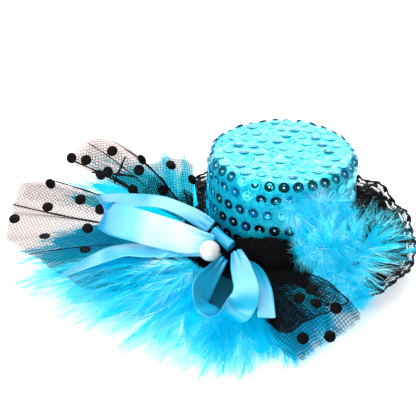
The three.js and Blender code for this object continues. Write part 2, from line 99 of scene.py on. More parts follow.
# rows: root azimuth, x, y, z of the tip, arch, width; pale: places along the bunch and how pale it is there
FEATHERS = {
    "feather_front": {
        # painted shade: this bunch's roots are darker, for the shade that the bow and net cast on them
        "radius": 55, "height": 12.7, "thickness": 5.0, "locks": 14, "leaf": 0.78, "root_shade": 0.38,
        "pale": ((0, 0.12, 0.22, 0.4, 0.56, 0.70, 1.0), (0.46, 0.58, 0.82, 0.98, 1.0, 0.60, 0.42)),
        "rows": [
            (188, -112, -9, 12, 1, 13), (195, -131, -22, 7, 1, 17), (208, -122, -46, 1.5, 1.5, 26),
            (220, -101, -69, 0.4, 1.5, 28), (235, -73, -94, 0.4, 1.5, 28), (248, -39, -106, 0.4, 1.5, 25),
            (256, -17, -102, 0.4, 1.5, 18), (264, 3, -92, 0.4, 2.6, 17), (271, 20, -80, 2.5, 3.2, 13),
        ],
    },
    "feather_back": {
        # painted light: this bunch's tones are raised, with its finish's stronger glow, against the shade of
        # the net over it
        "radius": 46, "height": 10.8, "thickness": 5.0, "locks": 6, "leaf": 0.72, "root_shade": 0.53,
        "pale": ((0, 1), (0.50, 0.56)),
        # the way that the whole bunch faces in its shading
        "lit": (-0.2, -0.55, 0.8),
        "rows": [
            (180, -118, 9, 25, 1, 12), (174, -101, 17, 31, 1, 16), (168, -80, 21, 35, 2, 17),
            (162, -61, 23, 35, 2, 15), (156, -50, 25, 33, 1, 13),
        ],
    },
    "feather_side": {
        "radius": 45.5, "height": 11.5, "thickness": 4.6, "locks": 10, "leaf": 0.3, "root_shade": 0.50,
        "pale": ((0, 0.4, 1), (0.62, 0.60, 0.58)),
        "rows": [
            (293, 8, -45, 39, 0, 15), (299, 18, -42.8, 46, 0, 16), (306, 29, -38, 42, 0, 16),
            (316, 41, -27, 32, 1, 15), (324, 55, -7, 18, 2, 12), (322, 61, -23, 17, 2, 13),
            (315, 56, -38, 15.5, 2, 13), (306, 43, -53, 14, 2, 12), (299, 33, -60, 13, 2, 10),
        ],
        # tufts in the heap of down that hides the roots, and barbs in each
        "tufts": (340, 36),
        # the heap's two edges, from its top at the crown to the foot
        "pile": [
            ((2.3, -39, 48.2), (23, -33, 45)), ((-1.3, -42, 42.5), (30, -33, 37)),
            ((-1.2, -43.6, 35), (33.1, -36, 30.5)), ((2.4, -47, 28.5), (34.4, -40.5, 24.5)),
            ((7.4, -50.3, 22), (34.5, -45.6, 19)), ((13.2, -54.5, 16.2), (34, -52.1, 14.5)),
            ((19, -60.4, 11.5), (33.2, -59.7, 11)), ((24, -68, 9.8), (31.5, -67, 9.6)),
        ],
    },
}

# stations: x, y, z of the middle line, the way across, width
RIBBONS = {
    "ribbon_loop_left": [
        (-33.3, -45, 29, (0.31, 0.39, 0.87), 7), (-44.3, -43.8, 29.8, (0.25, 0.4, 0.88), 13),
        (-56.8, -39.6, 31, (0.2, 0.36, 0.91), 15.5), (-69.9, -34.9, 32.4, (0.15, 0.37, 0.92), 16),
        (-79.9, -31.1, 33.4, (0.1, 0.5, 0.86), 16), (-84.5, -27.7, 34.6, (0.05, 0.59, 0.8), 15),
        (-81.9, -22.4, 36.4, (0.1, 0.92, 0.38), 14), (-71.4, -21.9, 38, (0.2, 0.98, 0), 13),
        (-58.6, -23.6, 38.2, (0.3, 0.95, -0.07), 12.5), (-45.9, -28.8, 35.8, (0.36, 0.93, 0.05), 11),
        (-34.7, -36.3, 32.2, (0.36, 0.78, 0.51), 7),
    ],
    "ribbon_loop_right": [
        (-28.7, -46.9, 22.6, (0.76, -0.13, -0.63), 5), (-33.6, -57.1, 21.2, (0.72, -0.06, -0.69), 8),
        (-37.6, -67, 21, (0.67, 0.15, -0.72), 12), (-39.3, -74.5, 20.4, (0.55, 0.56, -0.62), 12.5),
        (-36.9, -80.5, 18.4, (0.45, 0.85, -0.27), 13), (-31.4, -84.9, 17.4, (0.63, 0.61, -0.48), 13.5),
        (-24.1, -84.5, 20, (0.88, -0.03, -0.48), 13.5), (-20.6, -81, 23, (0.95, -0.2, -0.24), 12.5),
        (-19.4, -75.5, 25.4, (1, 0.02, -0.07), 11.5), (-20.5, -68.4, 26.8, (0.94, 0.28, 0.18), 10.5),
        (-21.9, -61.1, 28.2, (0.88, 0.36, 0.31), 9), (-23.5, -52.3, 29.6, (0.82, 0.37, 0.43), 5),
    ],
    "ribbon_tail_left": [
        (-33.5, -44, 22.3, (0.1, 0.99, 0), 4), (-49.9, -41.3, 22.2, (0.1, 0.99, 0), 10),
        (-63.4, -41.1, 22.4, (0.1, 0.99, -0.06), 12), (-76.3, -41.1, 22.4, (0.15, 0.99, -0.05), 12.5),
        (-88.9, -49.9, 22.4, (0.2, 0.97, -0.13), 12.5), (-103.1, -60.7, 20.4, (0.3, 0.93, -0.2), 11),
    ],
    "ribbon_tail_right": [
        (-19.7, -49.8, 23.4, (0.51, 0.54, -0.67), 4), (-14.7, -55.5, 22.6, (0.75, 0.51, -0.42), 6.5),
        (-11.7, -69.1, 20.9, (0.84, 0.53, -0.08), 8), (-11.1, -87, 17.9, (0.81, 0.59, 0), 8),
    ],
}
# painted highlight: how pale the satin's sheen is painted along each ribbon: places from its start to its
# end, and the shade there
RIBBON_PAINTED_SHEEN = {
    "ribbon_loop_left": (
        (0, 0.1, 0.25, 0.36, 0.46, 0.55, 0.7, 0.85, 1),
        (0.7, 0.9, 0.97, 0.62, 0.3, 0.3, 0.62, 0.45, 0.35),
    ),
    "ribbon_loop_right": (
        (0, 0.15, 0.3, 0.42, 0.5, 0.62, 0.75, 0.9, 1),
        (0.4, 0.62, 0.7, 0.35, 0.45, 0.66, 0.72, 0.4, 0.3),
    ),
    "ribbon_tail_left": ((0, 0.3, 0.6, 1), (0.4, 0.6, 0.78, 0.62)),
    "ribbon_tail_right": ((0, 0.5, 1), (0.35, 0.55, 0.45)),
}
# the knot's painted sheen, the same all over
KNOT_PAINTED_SHEEN = 0.5
KNOT = {"place": (-29.4, -40.6, 28.4), "axis": (0.7, -0.64, -0.32), "length": 12.5, "radius": 2.9}
PEARL = {"place": (-35.3, -51.8, 29.2), "diameter": 9.6}

# Shared shaping


def deselect_all():
    if bpy.context.object and bpy.context.object.mode != "OBJECT":
        bpy.ops.object.mode_set(mode="OBJECT")
    bpy.ops.object.select_all(action="DESELECT")


def work_on(piece):
    deselect_all()
    piece.select_set(True)
    bpy.context.view_layer.objects.active = piece


@contextmanager
def editing(piece):
    """Edit mode with all of a piece selected."""
    work_on(piece)
    bpy.ops.object.mode_set(mode="EDIT")
    bpy.ops.mesh.select_all(action="SELECT")
    yield
    bpy.ops.object.mode_set(mode="OBJECT")


def apply_modifier(piece, kind, **settings):
    work_on(piece)
    modifier = piece.modifiers.new(kind.lower(), kind)
    for name, value in settings.items():
        setattr(modifier, name, value)
    bpy.ops.object.modifier_apply(modifier=modifier.name)


def to_strands(piece, thickness):
    """Turns a sheet of cells into the strands along their edges."""
    apply_modifier(piece, "WIREFRAME", thickness=thickness * MM, use_even_offset=False, use_replace=True)


def sew(name, points, faces):
    """A new piece from points in millimetres and faces of equal corners."""
    points = np.asarray(points).reshape(-1, 3)
    faces = np.asarray(faces, dtype=np.int32)
    count, corners = faces.shape
    mesh = bpy.data.meshes.new(name)
    mesh.vertices.add(len(points))
    mesh.vertices.foreach_set("co", (points * MM).astype(np.float32).ravel())
    mesh.loops.add(count * corners)
    mesh.loops.foreach_set("vertex_index", faces.ravel())
    mesh.polygons.add(count)
    mesh.polygons.foreach_set("loop_start", np.arange(0, count * corners, corners, dtype=np.int32))
    mesh.update(calc_edges=True)
    mesh.validate()
    piece = bpy.data.objects.new(name, mesh)
    bpy.context.scene.collection.objects.link(piece)
    return piece


def grid_faces(rows, columns, wrap=False):
    """The quads of a grid of points; with wrap, the last column joins the first."""
    i, j = np.meshgrid(np.arange(rows - 1), np.arange(columns if wrap else columns - 1), indexing="ij")
    k = (j + 1) % columns
    corners = [i * columns + j, i * columns + k, (i + 1) * columns + k, (i + 1) * columns + j]
    return np.stack(corners, -1).reshape(-1, 4)


def many_faces(one, copies, points_each):
    """The faces of many copies of a shape whose points follow each other."""
    starts = np.arange(copies) * points_each
    return (one[None] + starts[:, None, None]).reshape(-1, 4)


def join_parts(name, parts):
    """One piece from several (points, quads) parts."""
    points, faces, start = [], [], 0
    for part_points, part_faces in parts:
        points.append(np.asarray(part_points).reshape(-1, 3))
        faces.append(np.asarray(part_faces) + start)
        start += len(points[-1])
    return sew(name, np.concatenate(points), np.concatenate(faces))


def shade_attribute(piece, values):
    layer = piece.data.attributes.new("shade", "FLOAT", "POINT")
    layer.data.foreach_set("value", np.asarray(values, dtype=np.float32).ravel())


def weave_map(piece, along, across):
    """A UV map in metres along and across the cloth, so that a weave follows it at its real scale."""
    layer = piece.data.uv_layers.new(name="weave")
    corner = np.empty(len(piece.data.loops), dtype=np.int32)
    piece.data.loops.foreach_get("vertex_index", corner)
    uv = np.stack([np.ravel(along)[corner], np.ravel(across)[corner]], -1) * MM
    layer.data.foreach_set("uv", uv.astype(np.float32).ravel())


def dress(piece, look, nodes=()):
    """Gives a piece its smooth shading and finish, says what it rides on, and hides the nodes that it
    replaces.
    """
    piece.data.polygons.foreach_set("use_smooth", np.ones(len(piece.data.polygons), dtype=bool))
    piece.data.update()
    piece.data.materials.clear()
    piece.data.materials.append(look)
    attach(piece, "root")
    if nodes:
        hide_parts(*nodes)
    return piece


def declare_gathered(cloth):
    """Reads the area of each face of a gathered cloth."""
    area = np.empty(len(cloth.data.polygons))
    cloth.data.polygons.foreach_get("area", area)


def unit(v):
    return v / np.maximum(np.linalg.norm(v, axis=-1, keepdims=True), 1e-9)


def moved(points, *steps):
    """Points moved by each (way, amount) in turn."""
    for way, amount in steps:
        points = points + way * amount[..., None]
    return points


def ease(x, low, high):
    t = np.clip((x - low) / (high - low), 0, 1)
    return t * t * (3 - 2 * t)


def round_angles(count):
    return np.arange(count) / count * FULL_TURN


def through(values, t):
    """A smooth curve through a column of values, t from 0 to 1."""
    v = np.asarray(values, dtype=float)
    last = len(v) - 1
    at = np.clip(t, 0, 1) * last
    i = np.minimum(np.floor(at).astype(int), last - 1)
    f = at - i
    a, b, c, d = (v[np.clip(i + k, 0, last)] for k in (-1, 0, 1, 2))
    if v.ndim > 1:
        f = f[..., None]
    return b + 0.5 * f * (c - a + f * (2 * a - 5 * b + 4 * c - d + f * (3 * (b - c) + d - a)))


def by_azimuth(rows, azimuth):
    """The other columns of a table whose first column is an azimuth in degrees."""
    table = np.asarray(rows, dtype=float)
    t = np.interp(azimuth, table[:, 0], np.arange(len(table))) / (len(table) - 1)
    return np.moveaxis(through(table[:, 1:], t), -1, 0)


def on_circle(azimuth, radius, height):
    angle = np.radians(azimuth)
    return np.stack(np.broadcast_arrays(radius * np.cos(angle), radius * np.sin(angle), height), -1)


def tubes(paths, radii, sides):
    """Round strands with open ends: paths (strands, points, 3), radii (strands, points)."""
    strands, count, _ = paths.shape
    along = unit(np.gradient(paths, axis=1))
    off_axis = np.array([0.31, 0.47, 0.83])
    aside = unit(np.cross(along, off_axis))
    face = np.cross(along, aside)
    turn = round_angles(sides)
    ring = np.cos(turn)[:, None] * aside[:, :, None] + np.sin(turn)[:, None] * face[:, :, None]
    points = paths[:, :, None] + ring * radii[:, :, None, None]
    return points.reshape(-1, 3), many_faces(grid_faces(count, sides, wrap=True), strands, count * sides)


# Finishes


def new_look(name, **sockets):
    look = bpy.data.materials.new(name)
    look.use_nodes = True
    shader = look.node_tree.nodes["Principled BSDF"]
    for socket, value in sockets.items():
        shader.inputs[socket.replace("_", " ")].default_value = value
    return look, look.node_tree, shader


def add_node(tree, kind, links=None, values=None, **settings):
    node = tree.nodes.new(kind)
    for name, value in settings.items():
        setattr(node, name, value)
    for name, value in (values or {}).items():
        node.inputs[name].default_value = value
    for name, source in (links or {}).items():
        tree.links.new(source, node.inputs[name])
    return node


def object_place(tree):
    return add_node(tree, "ShaderNodeTexCoord").outputs["Object"]


def weave_place(tree):
    return add_node(tree, "ShaderNodeUVMap", uv_map="weave").outputs["UV"]


def stretched(tree, place, scale):
    return add_node(tree, "ShaderNodeMapping", {"Vector": place}, {"Scale": scale}).outputs["Vector"]


def shade_of(tree):
    return add_node(tree, "ShaderNodeAttribute", attribute_name="shade").outputs["Fac"]


def noise(tree, place, scale, detail=3.0, rough=0.55):
    values = {"Scale": scale, "Detail": detail, "Roughness": rough}
    return add_node(tree, "ShaderNodeTexNoise", {"Vector": place}, values).outputs["Fac"]


def threads(tree, place, period, way):
    """Parallel ridges, their period in millimetres: the texture repeats every 2 pi / (20 scale) metres."""
    values = {"Scale": FULL_TURN / (20 * period * MM), "Distortion": 0.6, "Detail Scale": 2.0}
    return add_node(
        tree, "ShaderNodeTexWave", {"Vector": place}, values, bands_direction=way,
    ).outputs["Fac"]


def ramp(tree, factor, stops):
    node = add_node(tree, "ShaderNodeValToRGB", {"Fac": factor})
    marks = node.color_ramp.elements
    while len(marks) < len(stops):
        marks.new(0.5)
    for mark, (at, colour) in zip(marks, stops):
        mark.position = at
        mark.color = (*colour, 1)
    return node.outputs["Color"]


def spread(tree, factor, low, high):
    ends = {"To Min": low, "To Max": high}
    return add_node(tree, "ShaderNodeMapRange", {"Value": factor}, ends).outputs["Result"]


def total(tree, a, b):
    return add_node(tree, "ShaderNodeMath", {0: a, 1: b}, operation="ADD").outputs[0]


def paint(tree, shader, factor, stops):
    tree.links.new(ramp(tree, factor, stops), shader.inputs["Base Color"])


def roughen(tree, shader, factor, low, high):
    tree.links.new(spread(tree, factor, low, high), shader.inputs["Roughness"])


def emboss(tree, shader, height, strength, depth):
    bump = add_node(tree, "ShaderNodeBump", {"Height": height}, {"Strength": strength, "Distance": depth})
    tree.links.new(bump.outputs["Normal"], shader.inputs["Normal"])


def lame_finish():
    look, tree, shader = new_look("turquoise_lame", Metallic=0.2, Specular_IOR_Level=0.35)
    place = object_place(tree)
    facing = add_node(tree, "ShaderNodeNewGeometry").outputs["Normal"]
    upward = add_node(tree, "ShaderNodeSeparateXYZ", {"Vector": facing}).outputs["Z"]
    # painted highlight: the cloth's colour turns paler where it faces up, for the light on the crown's top;
    # the noise adds a random tone
    grain_and_painted_top_light = total(tree, noise(tree, place, 330, 4.0, 0.7), spread(tree, upward, 0.0, 0.2))
    paint(tree, shader, grain_and_painted_top_light, [
        (0.32, (0.0, 0.43, 0.66)), (0.5, (0.0, 0.61, 0.85)), (0.68, (0.04, 0.78, 0.94)),
        (0.9, (0.55, 0.93, 0.96)),
    ])
    roughen(tree, shader, noise(tree, place, 600), 0.26, 0.44)
    weave = total(tree, threads(tree, place, 0.8, "X"), threads(tree, place, 0.8, "Z"))
    emboss(tree, shader, total(tree, weave, noise(tree, place, 420, 4.0, 0.7)), 0.45, 0.0004)
    return look


def foil_finish():
    look, tree, shader = new_look("sequin_foil", Metallic=1.0, Coat_Weight=0.5, Coat_Roughness=0.05)
    paint(tree, shader, shade_of(tree), [
        (0.0, (0.0, 0.30, 0.55)), (0.5, (0.01, 0.50, 0.68)), (1.0, (0.06, 0.66, 0.78)),
    ])
    place = object_place(tree)
    roughen(tree, shader, noise(tree, place, 500), 0.06, 0.2)
    emboss(tree, shader, noise(tree, place, 420), 0.15, 0.0002)
    return look


def thread_finish():
    look, tree, shader = new_look("pale_thread", Roughness=0.5, Sheen_Weight=0.2)
    grain = noise(tree, object_place(tree), 800)
    paint(tree, shader, grain, [(0.3, (0.40, 0.78, 0.84)), (0.7, (0.75, 0.93, 0.96))])
    return look


def black_net_finish(name, low, high, scale):
    look, tree, shader = new_look(name, Specular_IOR_Level=0.2)
    place = object_place(tree)
    grain = noise(tree, place, scale)
    paint(tree, shader, grain, [(0.3, low), (0.7, high)])
    roughen(tree, shader, grain, 0.45, 0.75)
    emboss(tree, shader, noise(tree, place, scale * 3), 0.4, 0.0002)
    return look


def haze_finish(name, low, high):
    """The fine filling between a net's strands: a little dark fibre in a tint that shows what lies behind."""
    look, tree, shader = new_look(name, Roughness=0.8, Specular_IOR_Level=0.0)
    grain = noise(tree, object_place(tree), 900)
    paint(tree, shader, grain, [(0.3, (0.01, 0.006, 0.006)), (0.7, (0.03, 0.015, 0.015))])
    tint = ramp(tree, grain, [(0.3, low), (0.7, high)])
    clear = add_node(tree, "ShaderNodeBsdfTransparent", {"Color": tint})
    fibre_share = 0.04
    layers = {1: clear.outputs["BSDF"], 2: shader.outputs["BSDF"]}
    both = add_node(tree, "ShaderNodeMixShader", layers, {"Fac": fibre_share})
    tree.links.new(both.outputs["Shader"], tree.nodes["Material Output"].inputs["Surface"])
    return look


def feather_finish(name, glow):
    """Streaked barbs with a painted glow of their own, which stands in for the light that passes through down
    and fills in their shade.
    """
    look, tree, shader = new_look(name, Roughness=0.7, Specular_IOR_Level=0.15, Emission_Strength=glow)
    streak = noise(tree, stretched(tree, weave_place(tree), (1500, 60, 1)), 1.0, 4.0, 0.7)
    cloudy = spread(tree, noise(tree, object_place(tree), 55), -0.20, 0.20)
    mixed = total(tree, total(tree, shade_of(tree), cloudy), spread(tree, streak, -0.22, 0.22))
    colour = ramp(tree, mixed, [
        (0.0, (0.0, 0.31, 0.50)), (0.3, (0.0, 0.51, 0.77)), (0.55, (0.0, 0.65, 0.88)),
        (0.8, (0.22, 0.83, 0.94)), (1.0, (0.92, 0.99, 1.0)),
    ])
    for socket in ("Base Color", "Emission Color"):
        tree.links.new(colour, shader.inputs[socket])
    emboss(tree, shader, streak, 0.3, 0.0002)
    return look


def satin_finish():
    look, tree, shader = new_look(
        "sky_satin", Specular_IOR_Level=0.8, Anisotropic=0.4,
        Coat_Weight=0.7, Coat_Roughness=0.3, Coat_IOR=1.7,
    )
    cloudy = spread(tree, noise(tree, object_place(tree), 45), -0.12, 0.12)
    # painted highlight: the shade attribute carries the painted sheen, and the colour runs to near white
    # where it is high
    paint(tree, shader, total(tree, shade_of(tree), cloudy), [
        (0.0, (0.0, 0.32, 0.66)), (0.35, (0.0, 0.45, 0.80)), (0.6, (0.0, 0.56, 0.88)),
        (0.8, (0.12, 0.70, 0.95)), (1.0, (0.80, 0.97, 1.0)),
    ])
    weave = weave_place(tree)
    warp = threads(tree, weave, 0.45, "Y")
    weft = threads(tree, weave, 0.9, "X")
    roughen(tree, shader, warp, 0.24, 0.36)
    emboss(tree, shader, total(tree, warp, weft), 0.12, 0.0001)
    return look


def pearl_finish():
    look, tree, shader = new_look(
        "bead_pearl", Roughness=0.14, Specular_IOR_Level=0.6, Coat_Weight=0.8, Coat_Roughness=0.06,
        Sheen_Weight=0.3, Sheen_Tint=(1.0, 0.82, 0.62, 1), Subsurface_Weight=0.15, Subsurface_Scale=0.001,
    )
    # painted sheen: the bead's colour turns cream towards its rim, where its surface turns away from the view
    facing = add_node(tree, "ShaderNodeLayerWeight", values={"Blend": 0.35}).outputs["Facing"]
    paint(tree, shader, facing, [(0.35, (0.93, 0.91, 0.88)), (0.85, (0.86, 0.68, 0.50))])
    emboss(tree, shader, noise(tree, object_place(tree), 900), 0.05, 0.0001)
    return look


def steel_finish():
    look, tree, shader = new_look("clip_steel_brushed", Metallic=1.0)
    brushed = noise(tree, stretched(tree, object_place(tree), (40, 900, 900)), 3)
    paint(tree, shader, brushed, [(0.3, (0.42, 0.43, 0.45)), (0.7, (0.62, 0.63, 0.65))])
    roughen(tree, shader, brushed, 0.2, 0.45)
    emboss(tree, shader, brushed, 0.1, 0.0001)
    return look


def glint_finish():
    look, tree, shader = new_look("metal_thread", Metallic=1.0, Roughness=0.25)
    paint(tree, shader, shade_of(tree), [
        (0.45, (0.05, 0.05, 0.06)), (0.6, (0.05, 0.45, 0.75)), (0.9, (0.85, 0.92, 0.95)),
    ])
    return look


LAME = lame_finish()
GLINT = glint_finish()
FOIL = foil_finish()
THREAD = thread_finish()
NET = black_net_finish("black_net", (0.012, 0.006, 0.006), (0.030, 0.012, 0.011), 700)
FLOCK = black_net_finish("black_flock", (0.001, 0.001, 0.001), (0.005, 0.005, 0.006), 1500)
LACE = black_net_finish("black_lace", (0.004, 0.004, 0.005), (0.016, 0.016, 0.019), 900)
HAZE = haze_finish("net_haze", (0.62, 0.54, 0.52), (0.72, 0.63, 0.61))
TAIL_HAZE = haze_finish("tail_haze", (0.76, 0.80, 0.82), (0.86, 0.90, 0.92))
# painted glow: both feather finishes glow though they are no lamp; the back bunch's much stronger glow lifts
# it out of the shade of the net over it
FEATHER = feather_finish("cyan_feather", 0.2)
GLOWING_BACK_FEATHER = feather_finish("cyan_feather_back", 0.95)
SATIN = satin_finish()
PEARL_LOOK = pearl_finish()
STEEL = steel_finish()

# Crown and brim

SPIN_STEPS = 96
SHARP_ANGLE = math.radians(50)
BRIM_RIM = 1.0


def make_turned_cloth(name, profile, node):
    """Spins a closed profile of (radius, height) round the hat's middle and dresses it as sequin cloth."""
    deselect_all()
    bpy.ops.mesh.primitive_circle_add(vertices=len(profile), radius=1, location=(0, 0, 0))
    piece = bpy.context.object
    piece.name = piece.data.name = name
    for vertex, (radius, height) in zip(piece.data.vertices, profile):
        vertex.co = (radius * MM, 0, height * MM)
    with editing(piece):
        bpy.ops.mesh.spin(steps=SPIN_STEPS, angle=FULL_TURN, center=(0, 0, 0), axis=(0, 0, 1))
    with editing(piece):
        bpy.ops.mesh.remove_doubles(threshold=0.00001)
        bpy.ops.mesh.normals_make_consistent(inside=False)
    dress(piece, LAME, [node])
    work_on(piece)
    bpy.ops.object.shade_smooth_by_angle(angle=SHARP_ANGLE)


def arc(radius, height, size, start, stop, steps):
    """Points of an arc in a profile, between two angles in degrees."""
    angles = np.radians(np.linspace(start, stop, steps))
    return [(radius + size * math.cos(a), height + size * math.sin(a)) for a in angles]


def crown_radius(height):
    """The crown's outside, which narrows a little to its top edge."""
    shoulder = CROWN["top"] - CROWN["edge"]
    return np.interp(height, [CROWN["bottom"], shoulder], [CROWN["radius"], CROWN["top_radius"]])


def make_crown():
    r, top, low = CROWN["top_radius"], CROWN["top"], CROWN["bottom"]
    wall, edge = CROWN["wall"], CROWN["edge"]
    inner_edge = edge - wall / 2
    profile = [(float(crown_radius(h)), h) for h in (low, 20, 34)]
    profile += arc(r - edge, top - edge, edge, 0, 90, 7)
    profile += [(20, top), (0, top), (0, top - wall)]
    profile += arc(r - wall - inner_edge, top - wall - inner_edge, inner_edge, 90, 0, 5)
    profile += [(CROWN["radius"] - wall, low)]
    make_turned_cloth("crown_cloth", profile, "crown")


def brim_rise(radius):
    return BRIM["curl"] * ease(radius, BRIM["curl_from"], BRIM["radius"])


def make_brim():
    radii = np.linspace(BRIM["inner"], BRIM["radius"] - BRIM_RIM, 12)
    top = [(r, BRIM["top"] + brim_rise(r)) for r in radii]
    rim = arc(BRIM["radius"] - BRIM_RIM, BRIM["top"] - BRIM_RIM + BRIM["curl"], BRIM_RIM, 80, -80, 7)
    bottom = [(r, BRIM["bottom"] + brim_rise(r)) for r in radii[::-1]]
    make_turned_cloth("brim_cloth", top + rim + bottom, "brim")


make_crown()
make_brim()

# Sequins

SEQUIN = {"size": 5.2, "sides": 12, "lift": 0.42, "pitch": 7.3, "row_pitch": 7.0, "row_start": 0.35}
# each step of a sequin's cup, from its rim inwards: the share of the radius that is left, and the rise
SEQUIN_CUP = ((0.9, 0.06), (0.6, -0.26), (0.38, -0.02))
SEQUIN_TURN = math.radians(-9.5)
SEQUIN_TILT = {"top": 0.09, "side": 0.10}
TOP_ROWS = np.arange(-6, 7)
TOP_REACH = 32.0
SIDE_ROWS = (14.6, 22.4, 30.2, 38.0, 45.8)
EDGE_ROW = 51.0
EDGE_LEAN = 0.8
# along the row and up from the cloth; on the top the thread runs on along the row
THREAD_ON_TOP = (
    (-3.6, 0.14), (-2.4, 0.58), (-1.2, 0.40), (0.0, 0.2), (1.2, 0.40), (2.4, 0.58), (3.6, 0.14),
)
THREAD_ON_SIDE = (
    (-0.3, 0.05), (-0.2, 0.1), (-0.1, 0.15), (0.0, 0.2), (0.1, 0.15), (0.2, 0.1), (0.3, 0.05),
)
THREAD_RADIUS = 0.10
# height and radius of the knot of thread in a sequin's hole
THREAD_KNOT = np.array([(0.05, 0.62), (0.30, 0.55), (0.42, 0.34), (0.46, 0.03)])


def one_sequin():
    """A cupped disc with a hole, extruded from a circle: its points in millimetres and its quads."""
    deselect_all()
    rim = SEQUIN["size"] / 2 * MM
    bpy.ops.mesh.primitive_circle_add(vertices=SEQUIN["sides"], radius=rim, location=(0, 0, 0))
    disc = bpy.context.object
    with editing(disc):
        for inward, rise in SEQUIN_CUP:
            bpy.ops.mesh.extrude_edges_move(TRANSFORM_OT_translate={"value": (0, 0, rise * MM)})
            bpy.ops.transform.resize(value=(inward, inward, 1), center_override=(0, 0, 0))
        bpy.ops.mesh.normals_make_consistent(inside=False)
    points = np.array([v.co[:] for v in disc.data.vertices]) / MM
    faces = np.array([list(p.vertices) for p in disc.data.polygons])
    bpy.data.objects.remove(disc)
    points[:, 2] += SEQUIN["lift"]
    return points, faces


def sequin_places():
    """Where each sequin sits and the way its cloth faces, in staggered rows over top, side and edge."""
    row, column = np.meshgrid(TOP_ROWS, TOP_ROWS, indexing="ij")
    x = (column + 0.5 * (row % 2)) * SEQUIN["pitch"]
    y = (row + SEQUIN["row_start"]) * SEQUIN["row_pitch"]
    c, s = math.cos(SEQUIN_TURN), math.sin(SEQUIN_TURN)
    top = np.stack([x * c - y * s, x * s + y * c, np.full(x.shape, CROWN["top"])], -1)
    top = top[np.hypot(top[..., 0], top[..., 1]) < TOP_REACH]
    places, faces = [top], [np.broadcast_to(UP, top.shape)]
    count = round(FULL_TURN * CROWN["radius"] / SEQUIN["pitch"])
    for index, height in enumerate((*SIDE_ROWS, EDGE_ROW)):
        angle = FULL_TURN * (np.arange(count) + 0.5 * (index % 2)) / count
        out = np.stack([np.cos(angle), np.sin(angle), np.zeros(count)], -1)
        face, place = out, out * crown_radius(height) + UP * height
        if height == EDGE_ROW:
            face = unit(out + UP * EDGE_LEAN)
            inside = out * (CROWN["top_radius"] - CROWN["edge"]) + UP * (CROWN["top"] - CROWN["edge"])
            place = inside + face * CROWN["edge"]
        places.append(place)
        faces.append(face)
    return np.concatenate(places), np.concatenate(faces)


def make_sequins():
    rng = np.random.default_rng(11)
    points, quads = one_sequin()
    places, faces = sequin_places()
    tilt = np.where(faces[:, 2:] > 0.9, SEQUIN_TILT["top"], SEQUIN_TILT["side"])
    faces = unit(faces + rng.normal(0, 1, faces.shape) * tilt)
    aside = unit(np.cross(faces, np.array([0.2, 0.1, 0.95]) + rng.normal(0, 0.3, faces.shape)))
    axes = np.stack([aside, np.cross(faces, aside), faces], 1)
    discs = places[:, None] + np.einsum("pk,nkx->npx", points, axes)
    sequins = sew("sequins", discs, many_faces(quads, len(places), len(points)))
    shade_attribute(sequins, np.repeat(rng.uniform(0, 1, len(places)), len(points)))
    dress(sequins, FOIL)
    make_thread(places, faces)


def make_thread(places, faces):
    """The sewing thread: it comes up in each sequin's hole and crosses its rim along the row."""
    row_way = np.array([math.cos(SEQUIN_TURN), math.sin(SEQUIN_TURN), 0.0])
    ways = unit(row_way - faces * (faces @ row_way)[:, None])
    side = np.abs(faces[:, 2]) < 0.9
    ways[side] = unit(np.cross(UP, faces[side]))
    route = np.where(side[:, None, None], THREAD_ON_SIDE, THREAD_ON_TOP)
    paths = moved(places[:, None], (ways[:, None], route[..., 0]), (faces[:, None], route[..., 1]))
    knots = places[:, None] + faces[:, None] * THREAD_KNOT[None, :, :1]
    swell = np.broadcast_to(THREAD_KNOT[:, 1], knots.shape[:2])
    strands = [tubes(paths, np.full(paths.shape[:2], THREAD_RADIUS), 4), tubes(knots, swell, 8)]
    dress(join_parts("sequin_thread", strands), THREAD)


make_sequins()

# Lace frill

LACE_COLUMNS = 300
LACE_LINES = 15
LACE_THREAD = 0.36
LACE_INSET = 0.6
LACE_REPEATS = 30
REPEAT_ANGLE = 360 / LACE_REPEATS
# the frill's usual depth, by which the motifs are laid out
LACE_DEPTH = 26.5
# across a motif: the share of its outline, and the height by its thickness
MOTIF_LENS = ((0.02, -1.0), (1.0, -0.35), (1.0, 0.35), (0.02, 1.0))
# flowers in each repeat: v, shift by the repeat, size
FLOWERS = ((0.80, 0.0, 1.0), (0.42, 0.5, 0.82))
PETALS = 5
# leaves in each repeat: azimuth, v, turn
LEAVES = ((4.0, 0.64, 0.7), (8.0, 0.64, 2.4), (6.0, 0.92, 0.0), (1.5, 0.95, 0.5), (10.5, 0.95, 2.6))
# length, width, thickness and points round a motif
PETAL = (4.2, 2.8, 0.32, 10)
LEAF = (4.8, 2.0, 0.3, 8)
# cords worked along the frill: v, radius
EDGE_CORDS = ((1.0, 0.55), (0.90, 0.32), (0.04, 0.5))
CORD_POINTS = 720
CORD_SIDES = 5
LINING = {"columns": 540, "lines": 12, "reach": 0.86, "drop": 0.55, "pucker": 0.16}
GLINTS = 1500
GLINT_LIFT = 0.42


def lace_at(azimuth, v):
    """A point on the frill: azimuth in degrees, v from the crown (0) to the scalloped edge (1)."""
    reach, lift, ruffle = by_azimuth(LACE_ROWS, azimuth % 360)
    scallop = np.abs(np.sin(np.radians(azimuth) * LACE_REPEATS)) * v**6
    radius = LACE_INNER + (reach - LACE_INSET - LACE_INNER) * v + scallop
    wave = 1 + np.sin(LACE_RUFFLES * np.radians(azimuth))
    return on_circle(azimuth, radius, LACE_FLOOR + brim_rise(radius) + lift * v**2 + ruffle * wave * v)


